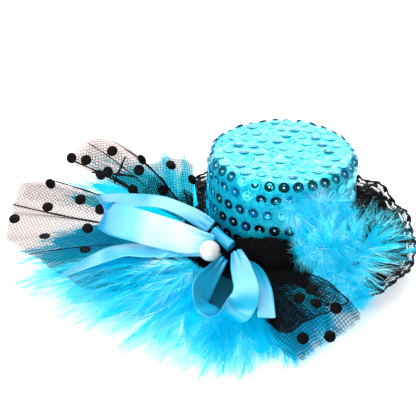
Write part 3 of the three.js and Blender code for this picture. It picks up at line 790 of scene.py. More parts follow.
def lace_motif(azimuth, v, turn, length, width, thick, points):
    """One worked petal or leaf, a flat lens that follows the frill."""
    angle = round_angles(points)
    radius = LACE_INNER + LACE_DEPTH * v
    rings = []
    for size, lift in MOTIF_LENS:
        x = length / 2 * (1 + np.cos(angle) * size)
        y = width / 2 * np.sin(angle) * size
        along = x * math.cos(turn) - y * math.sin(turn)
        aside = x * math.sin(turn) + y * math.cos(turn)
        p = lace_at(azimuth + np.degrees(along / radius), np.clip(v + aside / LACE_DEPTH, 0.02, 1.02))
        rings.append(p + UP * lift * thick)
    return np.concatenate(rings), grid_faces(len(MOTIF_LENS), points, wrap=True)


def lace_work():
    """Flowers and leaves in each repeat, then the cords along the edges."""
    parts = []
    for k in range(LACE_REPEATS):
        for middle, shift, size in FLOWERS:
            length, width, thick, points = PETAL
            for petal in range(PETALS):
                turn = petal * FULL_TURN / PETALS + 0.3 * k
                at = (k + shift) * REPEAT_ANGLE
                parts.append(lace_motif(at, middle, turn, length * size, width * size, thick, points))
        for at, middle, turn in LEAVES:
            parts.append(lace_motif(k * REPEAT_ANGLE + at, middle, turn, *LEAF))
    azimuth = np.arange(CORD_POINTS) * 360 / CORD_POINTS
    out = on_circle(azimuth, 1.0, 0.0)[:, None]
    turn = round_angles(CORD_SIDES)[None, :, None]
    for v, size in EDGE_CORDS:
        ring = lace_at(azimuth, np.full_like(azimuth, v))
        tube = ring[:, None] + size * (np.cos(turn) * out + np.sin(turn) * UP)
        faces = grid_faces(CORD_POINTS + 1, CORD_SIDES, wrap=True) % (CORD_POINTS * CORD_SIDES)
        parts.append((tube, faces))
    return join_parts("lace_work", parts)


def lace_lining():
    """The gathered black tulle under the lace, in close radial puckers, which leaves the lace edge open."""
    columns, lines = LINING["columns"], LINING["lines"]
    azimuth, v = np.meshgrid(np.arange(columns) / columns * 360, np.linspace(0.0, LINING["reach"], lines))
    angle = np.radians(azimuth)
    pucker = (np.sin(angle * 90) + 0.6 * np.sin(angle * 41 + 5 * v)) * (1 - 0.3 * v)
    points = moved(lace_at(azimuth, v), (UP, LINING["pucker"] * pucker - LINING["drop"]))
    return dress(sew("lace_lining", points, grid_faces(lines, columns, wrap=True)), LACE)


def lace_glints():
    """Small bright flecks of metal thread worked into the lace."""
    rng = np.random.default_rng(31)
    azimuth = rng.uniform(0, 360, GLINTS)
    v = rng.beta(2.2, 1.1, GLINTS)
    middle = lace_at(azimuth, v) + UP * GLINT_LIFT
    aside = unit(rng.normal(0, 1, (GLINTS, 3)) * (1, 1, 0.4))
    other = unit(np.cross(aside, UP + rng.normal(0, 0.5, (GLINTS, 3)))) / 2
    size = rng.uniform(0.16, 0.42, (GLINTS, 1))
    corners = np.stack([middle + way * size for way in (-aside, -other, aside, other)], 1)
    glints = sew("lace_glints", corners, np.arange(GLINTS * 4).reshape(GLINTS, 4))
    shade_attribute(glints, np.repeat(rng.uniform(0, 1, GLINTS), 4))
    return dress(glints, GLINT)


def make_lace():
    """The frill's ground is a net of staggered threads, with the worked lace joined to it."""
    column, line = np.meshgrid(np.arange(LACE_COLUMNS), np.arange(LACE_LINES))
    azimuth = (column + 0.5 * (line % 2)) / LACE_COLUMNS * 360
    ground = lace_at(azimuth, line / (LACE_LINES - 1))
    lace = sew("lace_frill_cloth", ground, grid_faces(LACE_LINES, LACE_COLUMNS, wrap=True))
    to_strands(lace, LACE_THREAD)
    worked = lace_work()
    work_on(lace)
    worked.select_set(True)
    bpy.ops.object.join()
    dress(lace, LACE, ["lace_frill"])
    lace_lining()
    lace_glints()


make_lace()

# Net gather, fans and tail

# how far the roll's middle stands out from the crown, by its half depth
GATHER_STAND = 1.07
# in degrees round the gathered roll: where the tail leaves it, and how far it goes on up over it
FLOW_TURN = (5, 95)
FLOW_LIFT = 0.7
FLOW_EASE = 0.3


def fan_at(fan, u, v):
    """A point on a pleated fan: u runs across it, v from its root (0) to its hem (1)."""
    (az0, az1), (r0, r1), (z0, z1) = fan["root"]
    root = on_circle(az0 + (az1 - az0) * u, r0 + (r1 - r0) * u, z0 + (z1 - z0) * u)
    tip = through(fan["ribs"], u)
    point = root + (tip[..., :3] - root) * v[..., None]
    point[..., 2] += 4 * tip[..., 3] * v * (1 - v)
    if "hem" in fan:
        start, drop = fan["hem"]
        point[..., 2] -= drop * ease(v, start, 1)
    ripple = fan["depth"] * v * np.sin(FULL_TURN * fan["pleats"] * u)
    return moved(point, (np.array(fan["pleat_way"]), ripple))


def gather_at(azimuth, turn, swell=0.0):
    """The bunched net round the crown: turn runs from under the roll, round its front, to its top."""
    top, half = by_azimuth(GATHER_ROWS, azimuth)
    angle = np.radians(azimuth)
    wander = 0.6 * np.sin(angle * 9) + 0.35 * np.sin(angle * 23 + 1.3)
    creases = 0.10 * np.sin(5 * turn + 2.2 * wander) + 0.05 * np.sin(11 * turn - 3 * wander + angle * 17)
    size = 0.96 + creases + swell / half
    radius = CROWN["radius"] + GAP + half * GATHER_STAND + half * size * np.cos(turn)
    tall = (top - GATHER_FLOOR) / 2
    return on_circle(azimuth, radius, GATHER_FLOOR + tall * (1 + 0.92 * size * np.sin(turn)))


def cloth_at(fan, u, v):
    """A point on a fan's cloth; below v = 0 the tail goes on up over the roll that it falls from."""
    point = fan_at(fan, u, np.maximum(v, 0))
    if "flow" in fan:
        (az0, az1), rise = fan["flow"]
        k = np.clip(-v / rise, 0, 1)
        turn = np.radians(FLOW_TURN[0] + FLOW_TURN[1] * k)
        over = gather_at(az0 + (az1 - az0) * u, turn, FLOW_LIFT)
        point = point + (over - point) * ease(k, 0, FLOW_EASE)[..., None]
    return point


def crossings_on(cloth, p, q):
    """Where the whole numbers of p and q meet on a grid of cloth points, each found in its triangle."""
    found = {}
    columns, lines = p.shape
    for i in range(columns - 1):
        for j in range(lines - 1):
            near, far = (i, j), (i + 1, j + 1)
            for corners in ((near, (i + 1, j), far), (near, far, (i, j + 1))):
                x = [p[k] for k in corners]
                y = [q[k] for k in corners]
                area = (x[1] - x[0]) * (y[2] - y[0]) - (x[2] - x[0]) * (y[1] - y[0])
                if abs(area) < 1e-9:
                    continue
                for gx in range(math.ceil(min(x)), math.floor(max(x)) + 1):
                    for gy in range(math.ceil(min(y)), math.floor(max(y)) + 1):
                        w1 = ((gx - x[0]) * (y[2] - y[0]) - (x[2] - x[0]) * (gy - y[0])) / area
                        w2 = ((x[1] - x[0]) * (gy - y[0]) - (gx - x[0]) * (y[1] - y[0])) / area
                        if min(w1, w2, 1 - w1 - w2) >= -1e-6 and (gx, gy) not in found:
                            a, b, d = (cloth[k] for k in corners)
                            found[gx, gy] = a + w1 * (b - a) + w2 * (d - a)
    return found


def net_cells(fan, pitch, turn, lift=0.0, u_range=(0, 1), v_range=(0, 1)):
    """A square mesh of even pitch laid over a fan: its crossings and its whole cells."""
    u, v = np.meshgrid(np.linspace(*u_range, 121), np.linspace(*v_range, 45), indexing="ij")
    cloth = cloth_at(fan, u, v) + UP * lift
    middle = cloth.reshape(-1, 3).mean(0)
    _, _, axes = np.linalg.svd(cloth.reshape(-1, 3) - middle, full_matrices=False)
    c, s = math.cos(math.radians(turn)), math.sin(math.radians(turn))
    p = (cloth - middle) @ (axes[0] * c + axes[1] * s) / pitch
    q = (cloth - middle) @ (axes[1] * c - axes[0] * s) / pitch
    crossings = crossings_on(cloth, p, q)
    order = {key: k for k, key in enumerate(crossings)}
    squares = ([(x, y), (x + 1, y), (x + 1, y + 1), (x, y + 1)] for x, y in order)
    cells = np.array([[order[k] for k in square] for square in squares if all(k in order for k in square)])
    used, renumbered = np.unique(cells, return_inverse=True)
    return np.array(list(crossings.values()))[used], renumbered.reshape(cells.shape)


DOT_RADIUS = 2.7
DOT_SIDES = 12
# across a dot: the share of its radius, and the height
DOT_LENS = ((0.02, -0.2), (0.85, -0.18), (1.0, 0.0), (0.85, 0.22), (0.02, 0.28))
FOLD_POINTS = 40
FOLD_SIDES = 5


def flock_dots(name, fan, places):
    """The net's round flocked spots, each a low lens lying on the cloth."""
    parts = []
    angle = round_angles(DOT_SIDES)[:, None]
    step = 0.004
    for u, v in places:
        u = min(max(u, step), 1 - step)
        v = min(v, 0.98)
        spots = ((u, v), (u + step, v), (u, v - step))
        middle, beside, before = (fan_at(fan, np.array(a), np.array(b)) for a, b in spots)
        along = unit(middle - before)
        normal = unit(np.cross(along, beside - middle))
        if normal[2] < 0:
            normal = -normal
        ring = (np.cos(angle) * along + np.sin(angle) * np.cross(normal, along)) * DOT_RADIUS
        rings = [middle + ring * share + normal * lift for share, lift in DOT_LENS]
        parts.append((np.concatenate(rings), grid_faces(len(DOT_LENS), DOT_SIDES, wrap=True)))
    return join_parts(name, parts)


def fold_lines(fan, lines):
    """Where the net is folded over itself: thin dark ropes of net along (u, v) routes."""
    parts = []
    t = np.linspace(0, 1, FOLD_POINTS)
    for (u0, v0), (u1, v1), size in lines:
        path = fan_at(fan, u0 + (u1 - u0) * t, v0 + (v1 - v0) * t)
        radius = size * (0.55 + 0.45 * np.sin(math.pi * t)) * (1 + 0.25 * np.sin(23 * t))
        parts.append(tubes(path[None], radius[None], FOLD_SIDES))
    return parts


NET_PITCH = 1.35
# Where many layers of net lie on each other one close mesh stands for them.
DENSE_PITCH = 0.85
DENSE_STRAND = 0.40
FLAP_TURN = 30
HAZE_GRID = (91, 31)
HAZE_DROP = 0.2
VEIL_STRAND = 0.2
VEIL_SWELL = 0.35
# The edge of the tail that is tucked under the bow, seen through the bow's right loop
UNDER_BOW = {
    "root": ((224, 246), (50, 51), (14.5, 15.5)),
    "pleats": 5, "depth": 0.6, "pleat_way": (0, -0.5, 0.86),
    "ribs": [
        (-43, -64, 14, 0.5), (-40, -72, 14, 0.5), (-32, -78, 14, 0.5), (-23, -79, 14, 0.5),
        (-14, -76, 14, 0.5),
    ],
}
FAN_LOOK = {"look": NET, "strand": 0.2, "haze": HAZE, "haze_from": 0.05, "flaps": []}
TAIL_LOOK = {"look": LACE, "strand": 0.36, "haze": TAIL_HAZE, "haze_from": -0.4, "flaps": [UNDER_BOW]}
# layers and dense: turn of the weave, lift, u range, v range; folds: from, to, size; dots: u, v
NET_DETAIL = {
    "net_fan_upper": dict(
        FAN_LOOK,
        flat=(0.068, 0.050),
        layers=[(38, 0.0, (0, 1), (0.05, 1)), (12, -0.9, (0, 0.24), (0.15, 0.97))],
        dense=[(30, 0.3, (0, 1), (0.03, 0.42)), (64, 0.6, (0.1, 1), (0.03, 0.36))],
        folds=[
            ((0.02, 0.98), (0.03, 0.30), 0.5), ((0.42, 1.0), (0.5, 0.2), 0.35),
            ((0.16, 0.98), (0.1, 0.4), 0.3), ((0.0, 0.80), (0.12, 0.50), 0.6),
            ((0.0, 0.62), (0.22, 0.66), 0.55), ((0.04, 0.66), (0.02, 0.36), 0.7),
        ],
        dots=[
            (0.033, 0.985), (0.057, 0.885), (0.187, 0.77), (0.183, 0.515), (0.753, 0.805), (0.97, 0.675),
            (0.027, 0.485), (0.213, 0.30), (0.01, 0.735), (0.05, 0.70), (0.42, 0.75), (0.40, 0.42),
        ],
    ),
    "net_fan_lower": dict(
        FAN_LOOK,
        flat=(0.110, 0.080),
        layers=[(42, 0.0, (0, 1), (0.05, 1)), (15, -0.9, (0.0, 0.2), (0.1, 0.97))],
        dense=[(30, 0.3, (0, 0.75), (0.03, 0.3))],
        folds=[
            ((0.25, 1.0), (0.3, 0.3), 0.42), ((0.02, 0.98), (0.05, 0.3), 0.4),
            ((0.6, 1.0), (0.6, 0.5), 0.25),
        ],
        dots=[
            (0.073, 0.91), (0.157, 0.645), (0.217, 0.815), (0.41, 0.975), (0.177, 0.525), (0.443, 0.575),
            (0.50, 0.80), (0.633, 0.70), (0.713, 0.515), (0.833, 0.365), (0.847, 0.255), (0.80, 0.80),
        ],
    ),
    "net_tail": dict(
        TAIL_LOOK,
        flat=(0.080, 0.060),
        layers=[(4, 0.0, (0, 1), (-0.4, 1)), (28, -1.0, (0, 0.8), (-0.3, 0.80))],
        dense=[
            (40, -0.5, (0, 0.64), (-0.38, 0.46)), (15, -1.4, (0, 0.46), (-0.38, 0.78)),
            (62, -0.9, (0, 1), (-0.38, 0.22)), (70, -0.7, (0.04, 0.38), (-0.2, 0.76)),
        ],
        folds=[
            ((0.05, 0.78), (0.5, 0.80), 0.5), ((0.5, 0.80), (0.75, 0.86), 0.4),
            ((0.3, 0.1), (0.2, 0.75), 0.4),
        ],
        dots=[
            (0.577, 0.535), (0.443, 0.575), (0.523, 0.685), (0.583, 0.82), (0.143, 0.685), (0.273, 0.88),
            (0.457, 0.965), (0.93, 0.35), (0.80, 0.62),
        ],
    ),
}


def make_net(name):
    """A fan of net: a see-through cloth, its strands, the folds, the dots and the doubled net."""
    fan, detail = NET_FANS[name], NET_DETAIL[name]
    columns, lines = HAZE_GRID
    across, along = np.linspace(0, 1, columns), np.linspace(detail["haze_from"], 1, lines)
    haze = cloth_at(fan, *np.meshgrid(across, along, indexing="ij")) - UP * HAZE_DROP
    cloth = dress(sew(name + "_cloth", haze, grid_faces(*HAZE_GRID)), detail["haze"], [name])
    weave = [net_cells(fan, NET_PITCH, *layer) for layer in detail["layers"]]
    strands = join_parts(name + "_strands", weave)
    to_strands(strands, detail["strand"])
    dress(strands, detail["look"], [name])
    cloth.visible_shadow = strands.visible_shadow = False
    folds = dress(join_parts(name + "_folds", fold_lines(fan, detail["folds"])), LACE)
    dots = dress(flock_dots(name + "_dots", fan, detail["dots"]), FLOCK)
    dense = [net_cells(fan, DENSE_PITCH, *layer) for layer in detail["dense"]]
    dense += [net_cells(flap, DENSE_PITCH, FLAP_TURN) for flap in detail["flaps"]]
    doubled = join_parts(name + "_doubled", dense)
    to_strands(doubled, DENSE_STRAND)
    dress(doubled, LACE)
    declare_gathered(cloth)


def roll_sheet(name, azimuths, columns, turns, lines, swell=0.0):
    """A sheet over the gathered roll, between two azimuths and two turns in degrees."""
    turn = np.radians(np.linspace(*turns, lines))
    azimuth, turn = np.meshgrid(np.linspace(*azimuths, columns), turn, indexing="ij")
    return sew(name, gather_at(azimuth, turn, swell), grid_faces(columns, lines)[:, ::-1])


def make_gather():
    roll = roll_sheet("net_gather_cloth", (196, 284), 121, (-140, 150), 61)
    dress(roll, LACE, ["net_gather"])
    veil = roll_sheet("net_gather_mesh", (197, 283), 91, (-40, 150), 25, VEIL_SWELL)
    to_strands(veil, VEIL_STRAND)
    dress(veil, LACE)
    declare_gathered(roll)


make_gather()
for net_name in NET_FANS:
    make_net(net_name)

# Feathers

FLOOR_CLEARANCE = 0.2
LEAF_SIDES = 10
# from root to tip along a lock's body and along a vane, closer together where the tip rounds off
LEAF_STEPS = np.concatenate([np.linspace(0.03, 0.6, 6), [0.68, 0.75, 0.79, 0.815, 0.825]])
VANE_STEPS = np.concatenate([np.linspace(0.08, 0.7, 8), [0.78, 0.85, 0.905, 0.945, 0.975, 0.99]])
VANE_COLUMNS = 9
# how far the weave map moves on from one vane to the next, so that neighbours' barbs differ
VANE_WEAVE = 37.0


def feather_rows(bunch, t):
    row = through(bunch["rows"], t)
    return row[..., 0], row[..., 1:4], row[..., 4], row[..., 5]


def feather_frame(bunch, azimuth, tip):
    """A feather's root and the ways along it, across it and out of its face."""
    root = on_circle(azimuth, bunch["radius"], bunch["height"])
    out = on_circle(azimuth, 1.0, 0.0)
    along = unit(tip - root)
    lean = np.maximum(0, along[..., 2:3])
    facing = UP * (1 - lean) + out * lean
    across = unit(np.cross(facing, along))
    return root, along, across, np.cross(along, across)


def quill_points(root, tip, across, face, arch, s, level=0.0, sway=0.0):
    """Points along each feather's bowed quill: s (feathers, points) runs from its root to its tip."""
    bow = 4 * s * (1 - s)
    rise = np.reshape(arch, (-1, 1)) * bow + np.reshape(level, (-1, 1)) * ease(s, 0, 0.3)
    swerve = np.reshape(sway, (-1, 1)) * bow
    span = (tip - root)[:, None]
    return moved(root[:, None], (span, s), (face[:, None], rise), (across[:, None], swerve))


def feather_shade(bunch, t, s):
    """How pale a feather is: t picks it from its bunch, s runs from its root to its tip."""
    root = bunch["root_shade"]
    return root + (np.interp(t, *bunch["pale"]) - root) * ease(s, 0.3, 0.95)


def round_tip(s, start, length):
    """The share of the width that is left where a tip is rounded off."""
    return np.sqrt(np.maximum(1 - (np.maximum(0, s - start) / length) ** 2, 0))


def feather_part(points, cell, shade, face, weave=None):
    """Points and faces of many like strips (strips, ..., 3), with each point's shade, normal and weave."""
    strips, *inner, _ = points.shape
    points = points.copy()
    points[..., 2] = np.maximum(points[..., 2], FLOOR_CLEARANCE)
    normal = np.broadcast_to(face.reshape(len(face), *(1 for _ in inner), 3), points.shape)
    shade = np.broadcast_to(shade, points.shape[:-1])
    weave = np.stack(np.broadcast_arrays(*weave)) if weave else np.zeros((2, *points.shape[:-1]))
    faces = many_faces(cell, strips, int(np.prod(inner)))
    return points.reshape(-1, 3), faces, shade.ravel(), normal.reshape(-1, 3), weave.reshape(2, -1)


def feather_leaves(bunch):
    """The soft body of each lock, under the barbs."""
    t = np.linspace(0, 1, bunch["locks"])
    azimuth, tip, arch, width = feather_rows(bunch, t)
    root, _, across, face = feather_frame(bunch, azimuth, tip)
    s = LEAF_STEPS
    full = (0.45 + 0.55 * ease(s, 0, 0.6)) * round_tip(s, 0.45, 0.376) * bunch["leaf"]
    angle = round_angles(LEAF_SIDES)
    middle = quill_points(root, tip, across, face, arch, s[None])
    wide = width[:, None, None] / 2 * full[None, :, None] * np.cos(angle)
    deep = bunch["thickness"] / 2 * full[None, :, None] * np.sin(angle)
    points = moved(middle[:, :, None], (across[:, None, None], wide), (face[:, None, None], deep))
    shade = feather_shade(bunch, t[:, None], s[None])[..., None]
    return feather_part(points, grid_faces(len(s), LEAF_SIDES, wrap=True), shade, face)


def feather_vanes(bunch, count, size, rng):
    """Whole feathers: a cambered vane either side of each quill, with its barbs marked in the weave map."""
    t = (np.arange(count) + rng.uniform(0, 1, count)) / count
    azimuth, tip, arch, width = feather_rows(bunch, t)
    tip = tip + rng.normal(0, 1, tip.shape) * (2.5, 2.5, 0.4)
    root, along, across, face = feather_frame(bunch, azimuth, tip)
    s = VANE_STEPS[None] * rng.uniform(0.5, 0.8, count)[:, None]
    full = (0.35 + 0.65 * ease(s, 0, 0.5)) * round_tip(s / s[:, -1:], 0.4, 0.602)
    half = width[:, None] * size * rng.uniform(0.28, 0.45, count)[:, None] * full
    level = rng.uniform(0.0, 0.4, count) * bunch["thickness"]
    sway = rng.normal(0, 2.0, count)
    middle = quill_points(root, tip, across, face, arch, s, level, sway)
    c = np.linspace(-1, 1, VANE_COLUMNS)
    offset = half[..., None] * c
    camber = half[..., None] * (rng.normal(0, 0.12, count)[:, None, None] * c - 0.2 * c**2)
    sweep = np.abs(offset) * 0.55 * (1 - ease(s, 0.75, 1.0))[..., None]
    ways = (way[:, None, None] for way in (across, face, along))
    points = moved(middle[:, :, None], *zip(ways, (offset, camber, sweep)))
    shade = (feather_shade(bunch, t[:, None], s) + rng.normal(0, 0.05, count)[:, None])[..., None]
    reach = np.linalg.norm(tip - root, axis=1)
    barb = s[..., None] * reach[:, None, None] + np.arange(count)[:, None, None] * VANE_WEAVE
    cell = grid_faces(s.shape[1], VANE_COLUMNS)[:, ::-1]
    return feather_part(points, cell, shade, face, (barb, offset))


def barb_strips(path, edge, shade, normal):
    """Flat strips, an edge to each side of many paths: path and edge (tufts, barbs, steps, 3)."""
    tufts, barbs, steps, _ = path.shape
    strips = np.stack([path - edge, path + edge], 3).reshape(tufts * barbs, steps, 2, 3)
    return feather_part(strips, grid_faces(steps, 2), shade.reshape(tufts * barbs, -1, 1), normal)


def feather_barbs(bunch, feathers, barbs, rng, style):
    """Soft barbs in clumps off both sides of many fine quills, laid over the locks."""
    first, last = style["span"]
    t = first + (last - first) * (np.arange(feathers) + rng.uniform(0, 1, feathers)) / feathers
    azimuth, tip, arch, width = feather_rows(bunch, t)
    tip = tip + rng.normal(0, 1, tip.shape) * np.array(style["scatter"])
    root, along, across, face = feather_frame(bunch, azimuth, tip)
    begin = rng.uniform(0, style["set_back"], feathers)
    root = root + (tip - root) * begin[:, None]
    tip = root + (tip - root) * (rng.uniform(style["shortest"], style["longest"], feathers))[:, None]
    level = rng.uniform(-0.3, 0.6, feathers) * bunch["thickness"]
    sway = rng.normal(0, style["sway"], feathers)
    reach = np.linalg.norm(tip - root, axis=1)

    clumps = style["clumps"]
    clump = rng.integers(0, clumps, (feathers, barbs))
    side = np.where(clump % 2 == 0, 1.0, -1.0)
    pick = np.arange(feathers)[:, None]

    def per_clump(low, high):
        return rng.uniform(low, high, (feathers, clumps))[pick, clump]

    # where each barb leaves its quill, and which way
    s = np.clip((clump + rng.uniform(0, 1.6, clump.shape)) / clumps, 0.03, 1.0)
    splay = per_clump(*style["angles"]) + rng.normal(0, 6, s.shape)
    fan_out = np.radians(splay) * (1 - 0.7 * s**1.5)
    fullness = (0.5 + 0.5 * ease(s, 0, 0.35)) * (1 - 0.62 * ease(s, 0.55, 1))
    length = width[:, None] * style["length"] * fullness * per_clump(0.75, 1.15)
    length = np.minimum(length * rng.uniform(0.6, 1.1, s.shape), reach[:, None] * 0.7)
    lift = per_clump(-1, 1) * style["fluff"] + rng.normal(0, style["fluff"] * 0.35, s.shape)
    outward = across[:, None] * (side * np.sin(fan_out))[..., None]
    way = along[:, None] * np.cos(fan_out)[..., None] + outward + face[:, None] * lift[..., None]

    # the barb itself, which bends to the tip, curls and droops
    k = np.linspace(0, 1, style["steps"])
    curl = per_clump(-0.35, 0.35) + rng.normal(0, 0.08, s.shape)
    wave = rng.uniform(0, FULL_TURN, s.shape)
    bend = length[..., None] * k**2
    ripple = 0.05 * length[..., None] * k * np.sin(5 * k + wave[..., None])
    path = moved(
        quill_points(root, tip, across, face, arch, s, level, sway)[:, :, None],
        (way[:, :, None], length[..., None] * k), (along[:, None, None], 0.30 * bend),
        (across[:, None, None], curl[..., None] * bend + ripple),
        (face[:, None, None], -style["droop"] * bend),
    )
    flat = unit(np.cross(way, face[:, None] + rng.normal(0, 0.35, way.shape)))
    edge = flat[:, :, None] * (style["width"] * (1 - 0.75 * k))[:, None] / 2

    whole = begin[:, None] + (1 - begin[:, None]) * s
    paleness = feather_shade(bunch, t[:, None], whole) + style["shade"]
    paleness = paleness + rng.normal(0, style["mottle"], feathers)[:, None]
    paleness = paleness + per_clump(-1, 1) * style["mottle"]
    shade = np.clip(paleness[..., None] + style["tip_shade"] * (k - 0.3), 0, 1)
    return barb_strips(path, edge, shade, unit(face[:, None] + 0.5 * outward).reshape(-1, 3))


PILE_GRID = (15, 31)
PILE_DEPTH = 1.5
PILE_SHADE = 0.30
PILE_BARB = {"width": 0.15, "taper": 0.7, "steps": 5}


def feather_pile(pile, tufts, barbs, rng):
    """Loose down heaped on the locks: tufts of short curled barbs over a sheet between two edges."""
    def spot(a, b):
        left, right = (through([row[edge] for row in pile], b) for edge in (0, 1))
        return left + (right - left) * a[..., None]

    def frame_at(a, b, step=0.01):
        right = unit(spot(a + step, b) - spot(a - step, b))
        down = spot(a, np.minimum(b + step, 1)) - spot(a, np.maximum(b - step, 0))
        face = unit(np.cross(down, right))
        return right, np.cross(right, face), face

    columns, lines = PILE_GRID
    a, b = np.meshgrid(np.linspace(0.12, 0.88, columns), np.linspace(0.08, 0.95, lines))
    backing = spot(a, b) - PILE_DEPTH * frame_at(a, b)[2]
    backing = backing[None] + rng.normal(0, 0.35, backing.shape)
    facing = frame_at(np.array([0.5]), np.array([0.5]))[2]
    shade = np.full((1, *a.shape), PILE_SHADE)
    parts = [feather_part(backing, grid_faces(*a.shape)[:, ::-1], shade, facing)]

    # each tuft heads away from the heap's middle, or else any way down and to the right
    a, b = rng.uniform(0, 1, (2, tufts))
    right, down, face = frame_at(a, b)
    away = np.arctan2(b - 0.45, (a - 0.4) * 0.7)
    leads = rng.uniform(0, 1, tufts) < 0.6
    heading = np.where(leads, away + rng.normal(0, 0.7, tufts), rng.uniform(-0.6, 2.4, tufts))
    pale = rng.uniform(0.40, 0.56, tufts) + 0.16 * np.sin(8 * a + 5 * b) * np.sin(13 * b - 4 * a)
    reach = rng.uniform(4, 8.5, tufts)
    curl = rng.normal(0, 0.7, tufts)
    base = spot(a, b) + face * rng.uniform(-1.0, 1.2, tufts)[:, None]
    angle = heading[:, None] + rng.normal(0, 0.42, (tufts, barbs))
    way = right[:, None] * np.cos(angle)[..., None] + down[:, None] * np.sin(angle)[..., None]
    way = way + face[:, None] * rng.normal(0.12, 0.12, angle.shape)[..., None]
    aside = np.cross(face[:, None], way)
    k = np.linspace(0, 1, PILE_BARB["steps"])
    length = reach[:, None] * rng.uniform(0.45, 1.1, angle.shape)
    bend = (curl[:, None] + rng.normal(0, 0.15, angle.shape)) * length
    steps = (way[:, :, None], length[..., None] * k), (aside[:, :, None], bend[..., None] * k**2)
    path = moved(base[:, None, None], *steps)
    width = PILE_BARB["width"] * (1 - PILE_BARB["taper"] * k)
    edge = unit(aside)[:, :, None] * width[:, None] / 2
    mottle = rng.normal(0, 0.16, angle.shape)[..., None]
    shade = np.clip(pale[:, None, None] + mottle + 0.22 * (k - 0.35), 0, 1)
    normal = np.repeat(unit(face + rng.normal(0, 0.25, face.shape)), barbs, 0)
    return parts + [barb_strips(path, -edge, shade, normal)]


def make_feather(name, vanes, layers, seed, look):
    """One bunch: its locks, whole feathers, heap of down and layers of (feathers, barbs, style)."""
    bunch = FEATHERS[name]
    rng = np.random.default_rng(seed)
    parts = [feather_leaves(bunch), feather_vanes(bunch, *vanes, rng)]
    if "pile" in bunch:
        parts += feather_pile(bunch["pile"], *bunch["tufts"], rng)
    for feathers, barbs, style in layers:
        parts.append(feather_barbs(style.get("bunch", bunch), feathers, barbs, rng, style))
    turn = -1 if "lit" in bunch else 1
    piece = join_parts(name + "_plume", [(part[0], part[1][:, ::turn]) for part in parts])
    shade_attribute(piece, np.concatenate([part[2] for part in parts]))
    weave_map(piece, *np.concatenate([part[4] for part in parts], 1))
    dress(piece, look, [name])
    # Barbs are lit as the soft surface they lie in, not strand by strand.
    normals = np.concatenate([part[3] for part in parts])
    if "lit" in bunch:
        normals = unit(0.3 * normals + np.array(bunch["lit"]))
    piece.data.normals_split_custom_set_from_vertices(normals.tolist())


# span: the stretch of the bunch; scatter: of the tips; angles: degrees between barb and quill
FLUFF = {
    "span": (0, 1), "scatter": (4.0, 4.0, 0.5), "set_back": 0.35, "shortest": 0.6, "longest": 0.98,
    "sway": 3.0, "angles": (14, 44), "length": 0.8, "fluff": 0.10, "droop": 0.03, "width": 0.17,
    "shade": 0.0, "tip_shade": 0.08, "mottle": 0.07, "steps": 4, "clumps": 22,
}
DOWN = dict(
    FLUFF, set_back=0.55, shortest=0.4, length=0.55, fluff=0.25, angles=(25, 80), width=0.15, shade=0.06,
)
STANDING = dict(
    FLUFF, scatter=(3.0, 3.0, 2.0), fluff=0.2, length=0.9, sway=3.5, angles=(20, 65), mottle=0.1,
)
WISPS = dict(
    STANDING, scatter=(5.0, 5.0, 1.5), length=1.3, longest=1.0, width=0.24, shade=0.18, clumps=10, sway=5.0,
)
SIDE_MASS = dict(
    STANDING, span=(0, 0.4), clumps=14, width=0.2, angles=(15, 70), mottle=0.13, longest=0.75,
    scatter=(4.0, 3.0, 3.0),
)
SIDE_WISPS = dict(WISPS, span=(0.4, 1), clumps=6, angles=(10, 45), shade=0.1, longest=0.86)
# The tuft at the bow, whose barbs lie over the ribbon and the net
TUFT = dict(WISPS, length=0.8, clumps=14, scatter=(3.0, 3.0, 1.0), shade=0.1, width=0.14, bunch={
    "radius": 62, "height": 20.5, "thickness": 3.0, "pale": ((0, 1), (0.75, 0.62)), "root_shade": 0.5,
    "rows": [
        (229, -62, -50, 25.5, 1, 10), (230, -70, -58, 22.5, 1, 12), (231, -70, -68, 17.5, 1, 14),
        (232, -62, -78, 14.5, 1, 14),
    ],
})
# Feathers over the lower net's front edge
OVER_NET = dict(FLUFF, scatter=(4.0, 4.0, 1.0), set_back=0.25, length=0.7, bunch={
    "radius": 66, "height": 17, "thickness": 3.0, "root_shade": 0.42,
    "pale": ((0, 0.5, 1), (0.62, 0.74, 0.70)),
    "rows": [
        (219, -126, -47, 14, 5, 16), (223, -119, -57, 11, 5, 18), (229, -106, -69, 8, 5, 18),
        (235, -89, -80, 6, 4, 18), (240, -74, -88, 5, 3, 16),
    ],
})
FRONT_LAYERS = [(100, 160, FLUFF), (66, 80, DOWN), (26, 120, OVER_NET), (18, 60, TUFT)]
BACK_LAYERS = [(40, 120, STANDING), (14, 80, DOWN), (8, 40, WISPS)]
SIDE_LAYERS = [(8, 90, SIDE_MASS), (6, 60, DOWN), (18, 34, SIDE_WISPS)]

make_feather("feather_front", (50, 0.85), FRONT_LAYERS, 21, FEATHER)
make_feather("feather_back", (20, 0.8), BACK_LAYERS, 22, GLOWING_BACK_FEATHER)
make_feather("feather_side", (5, 0.4), SIDE_LAYERS, 23, FEATHER)

# Satin bow and pearl

RIBBON_STEPS = 90
RIBBON_CROSS = 9
RIBBON_THICKNESS = 0.4
# half the width that the satin's weave is laid out for, and how far a gather reaches from the knot
RIBBON_HALF = 6.5
PINCH_REACH = 7
KNOT_GRID = (41, 48)
PEARL_TURN = math.radians(70)


def ribbon_at(stations, s):
    """The middle line of a ribbon, the ways across it and out of its face, and its width."""
    table = np.array([(x, y, z, *across, width) for x, y, z, across, width in stations])
    ahead, behind = (through(table[:, :3], np.clip(s + step, 0, 1)) for step in (0.004, -0.004))
    along = unit(ahead - behind)
    row = through(table, s)
    across = row[:, 3:6]
    across = unit(across - along * np.sum(across * along, -1, keepdims=True))
    return row[:, :3], across, np.cross(along, across), row[:, 6]


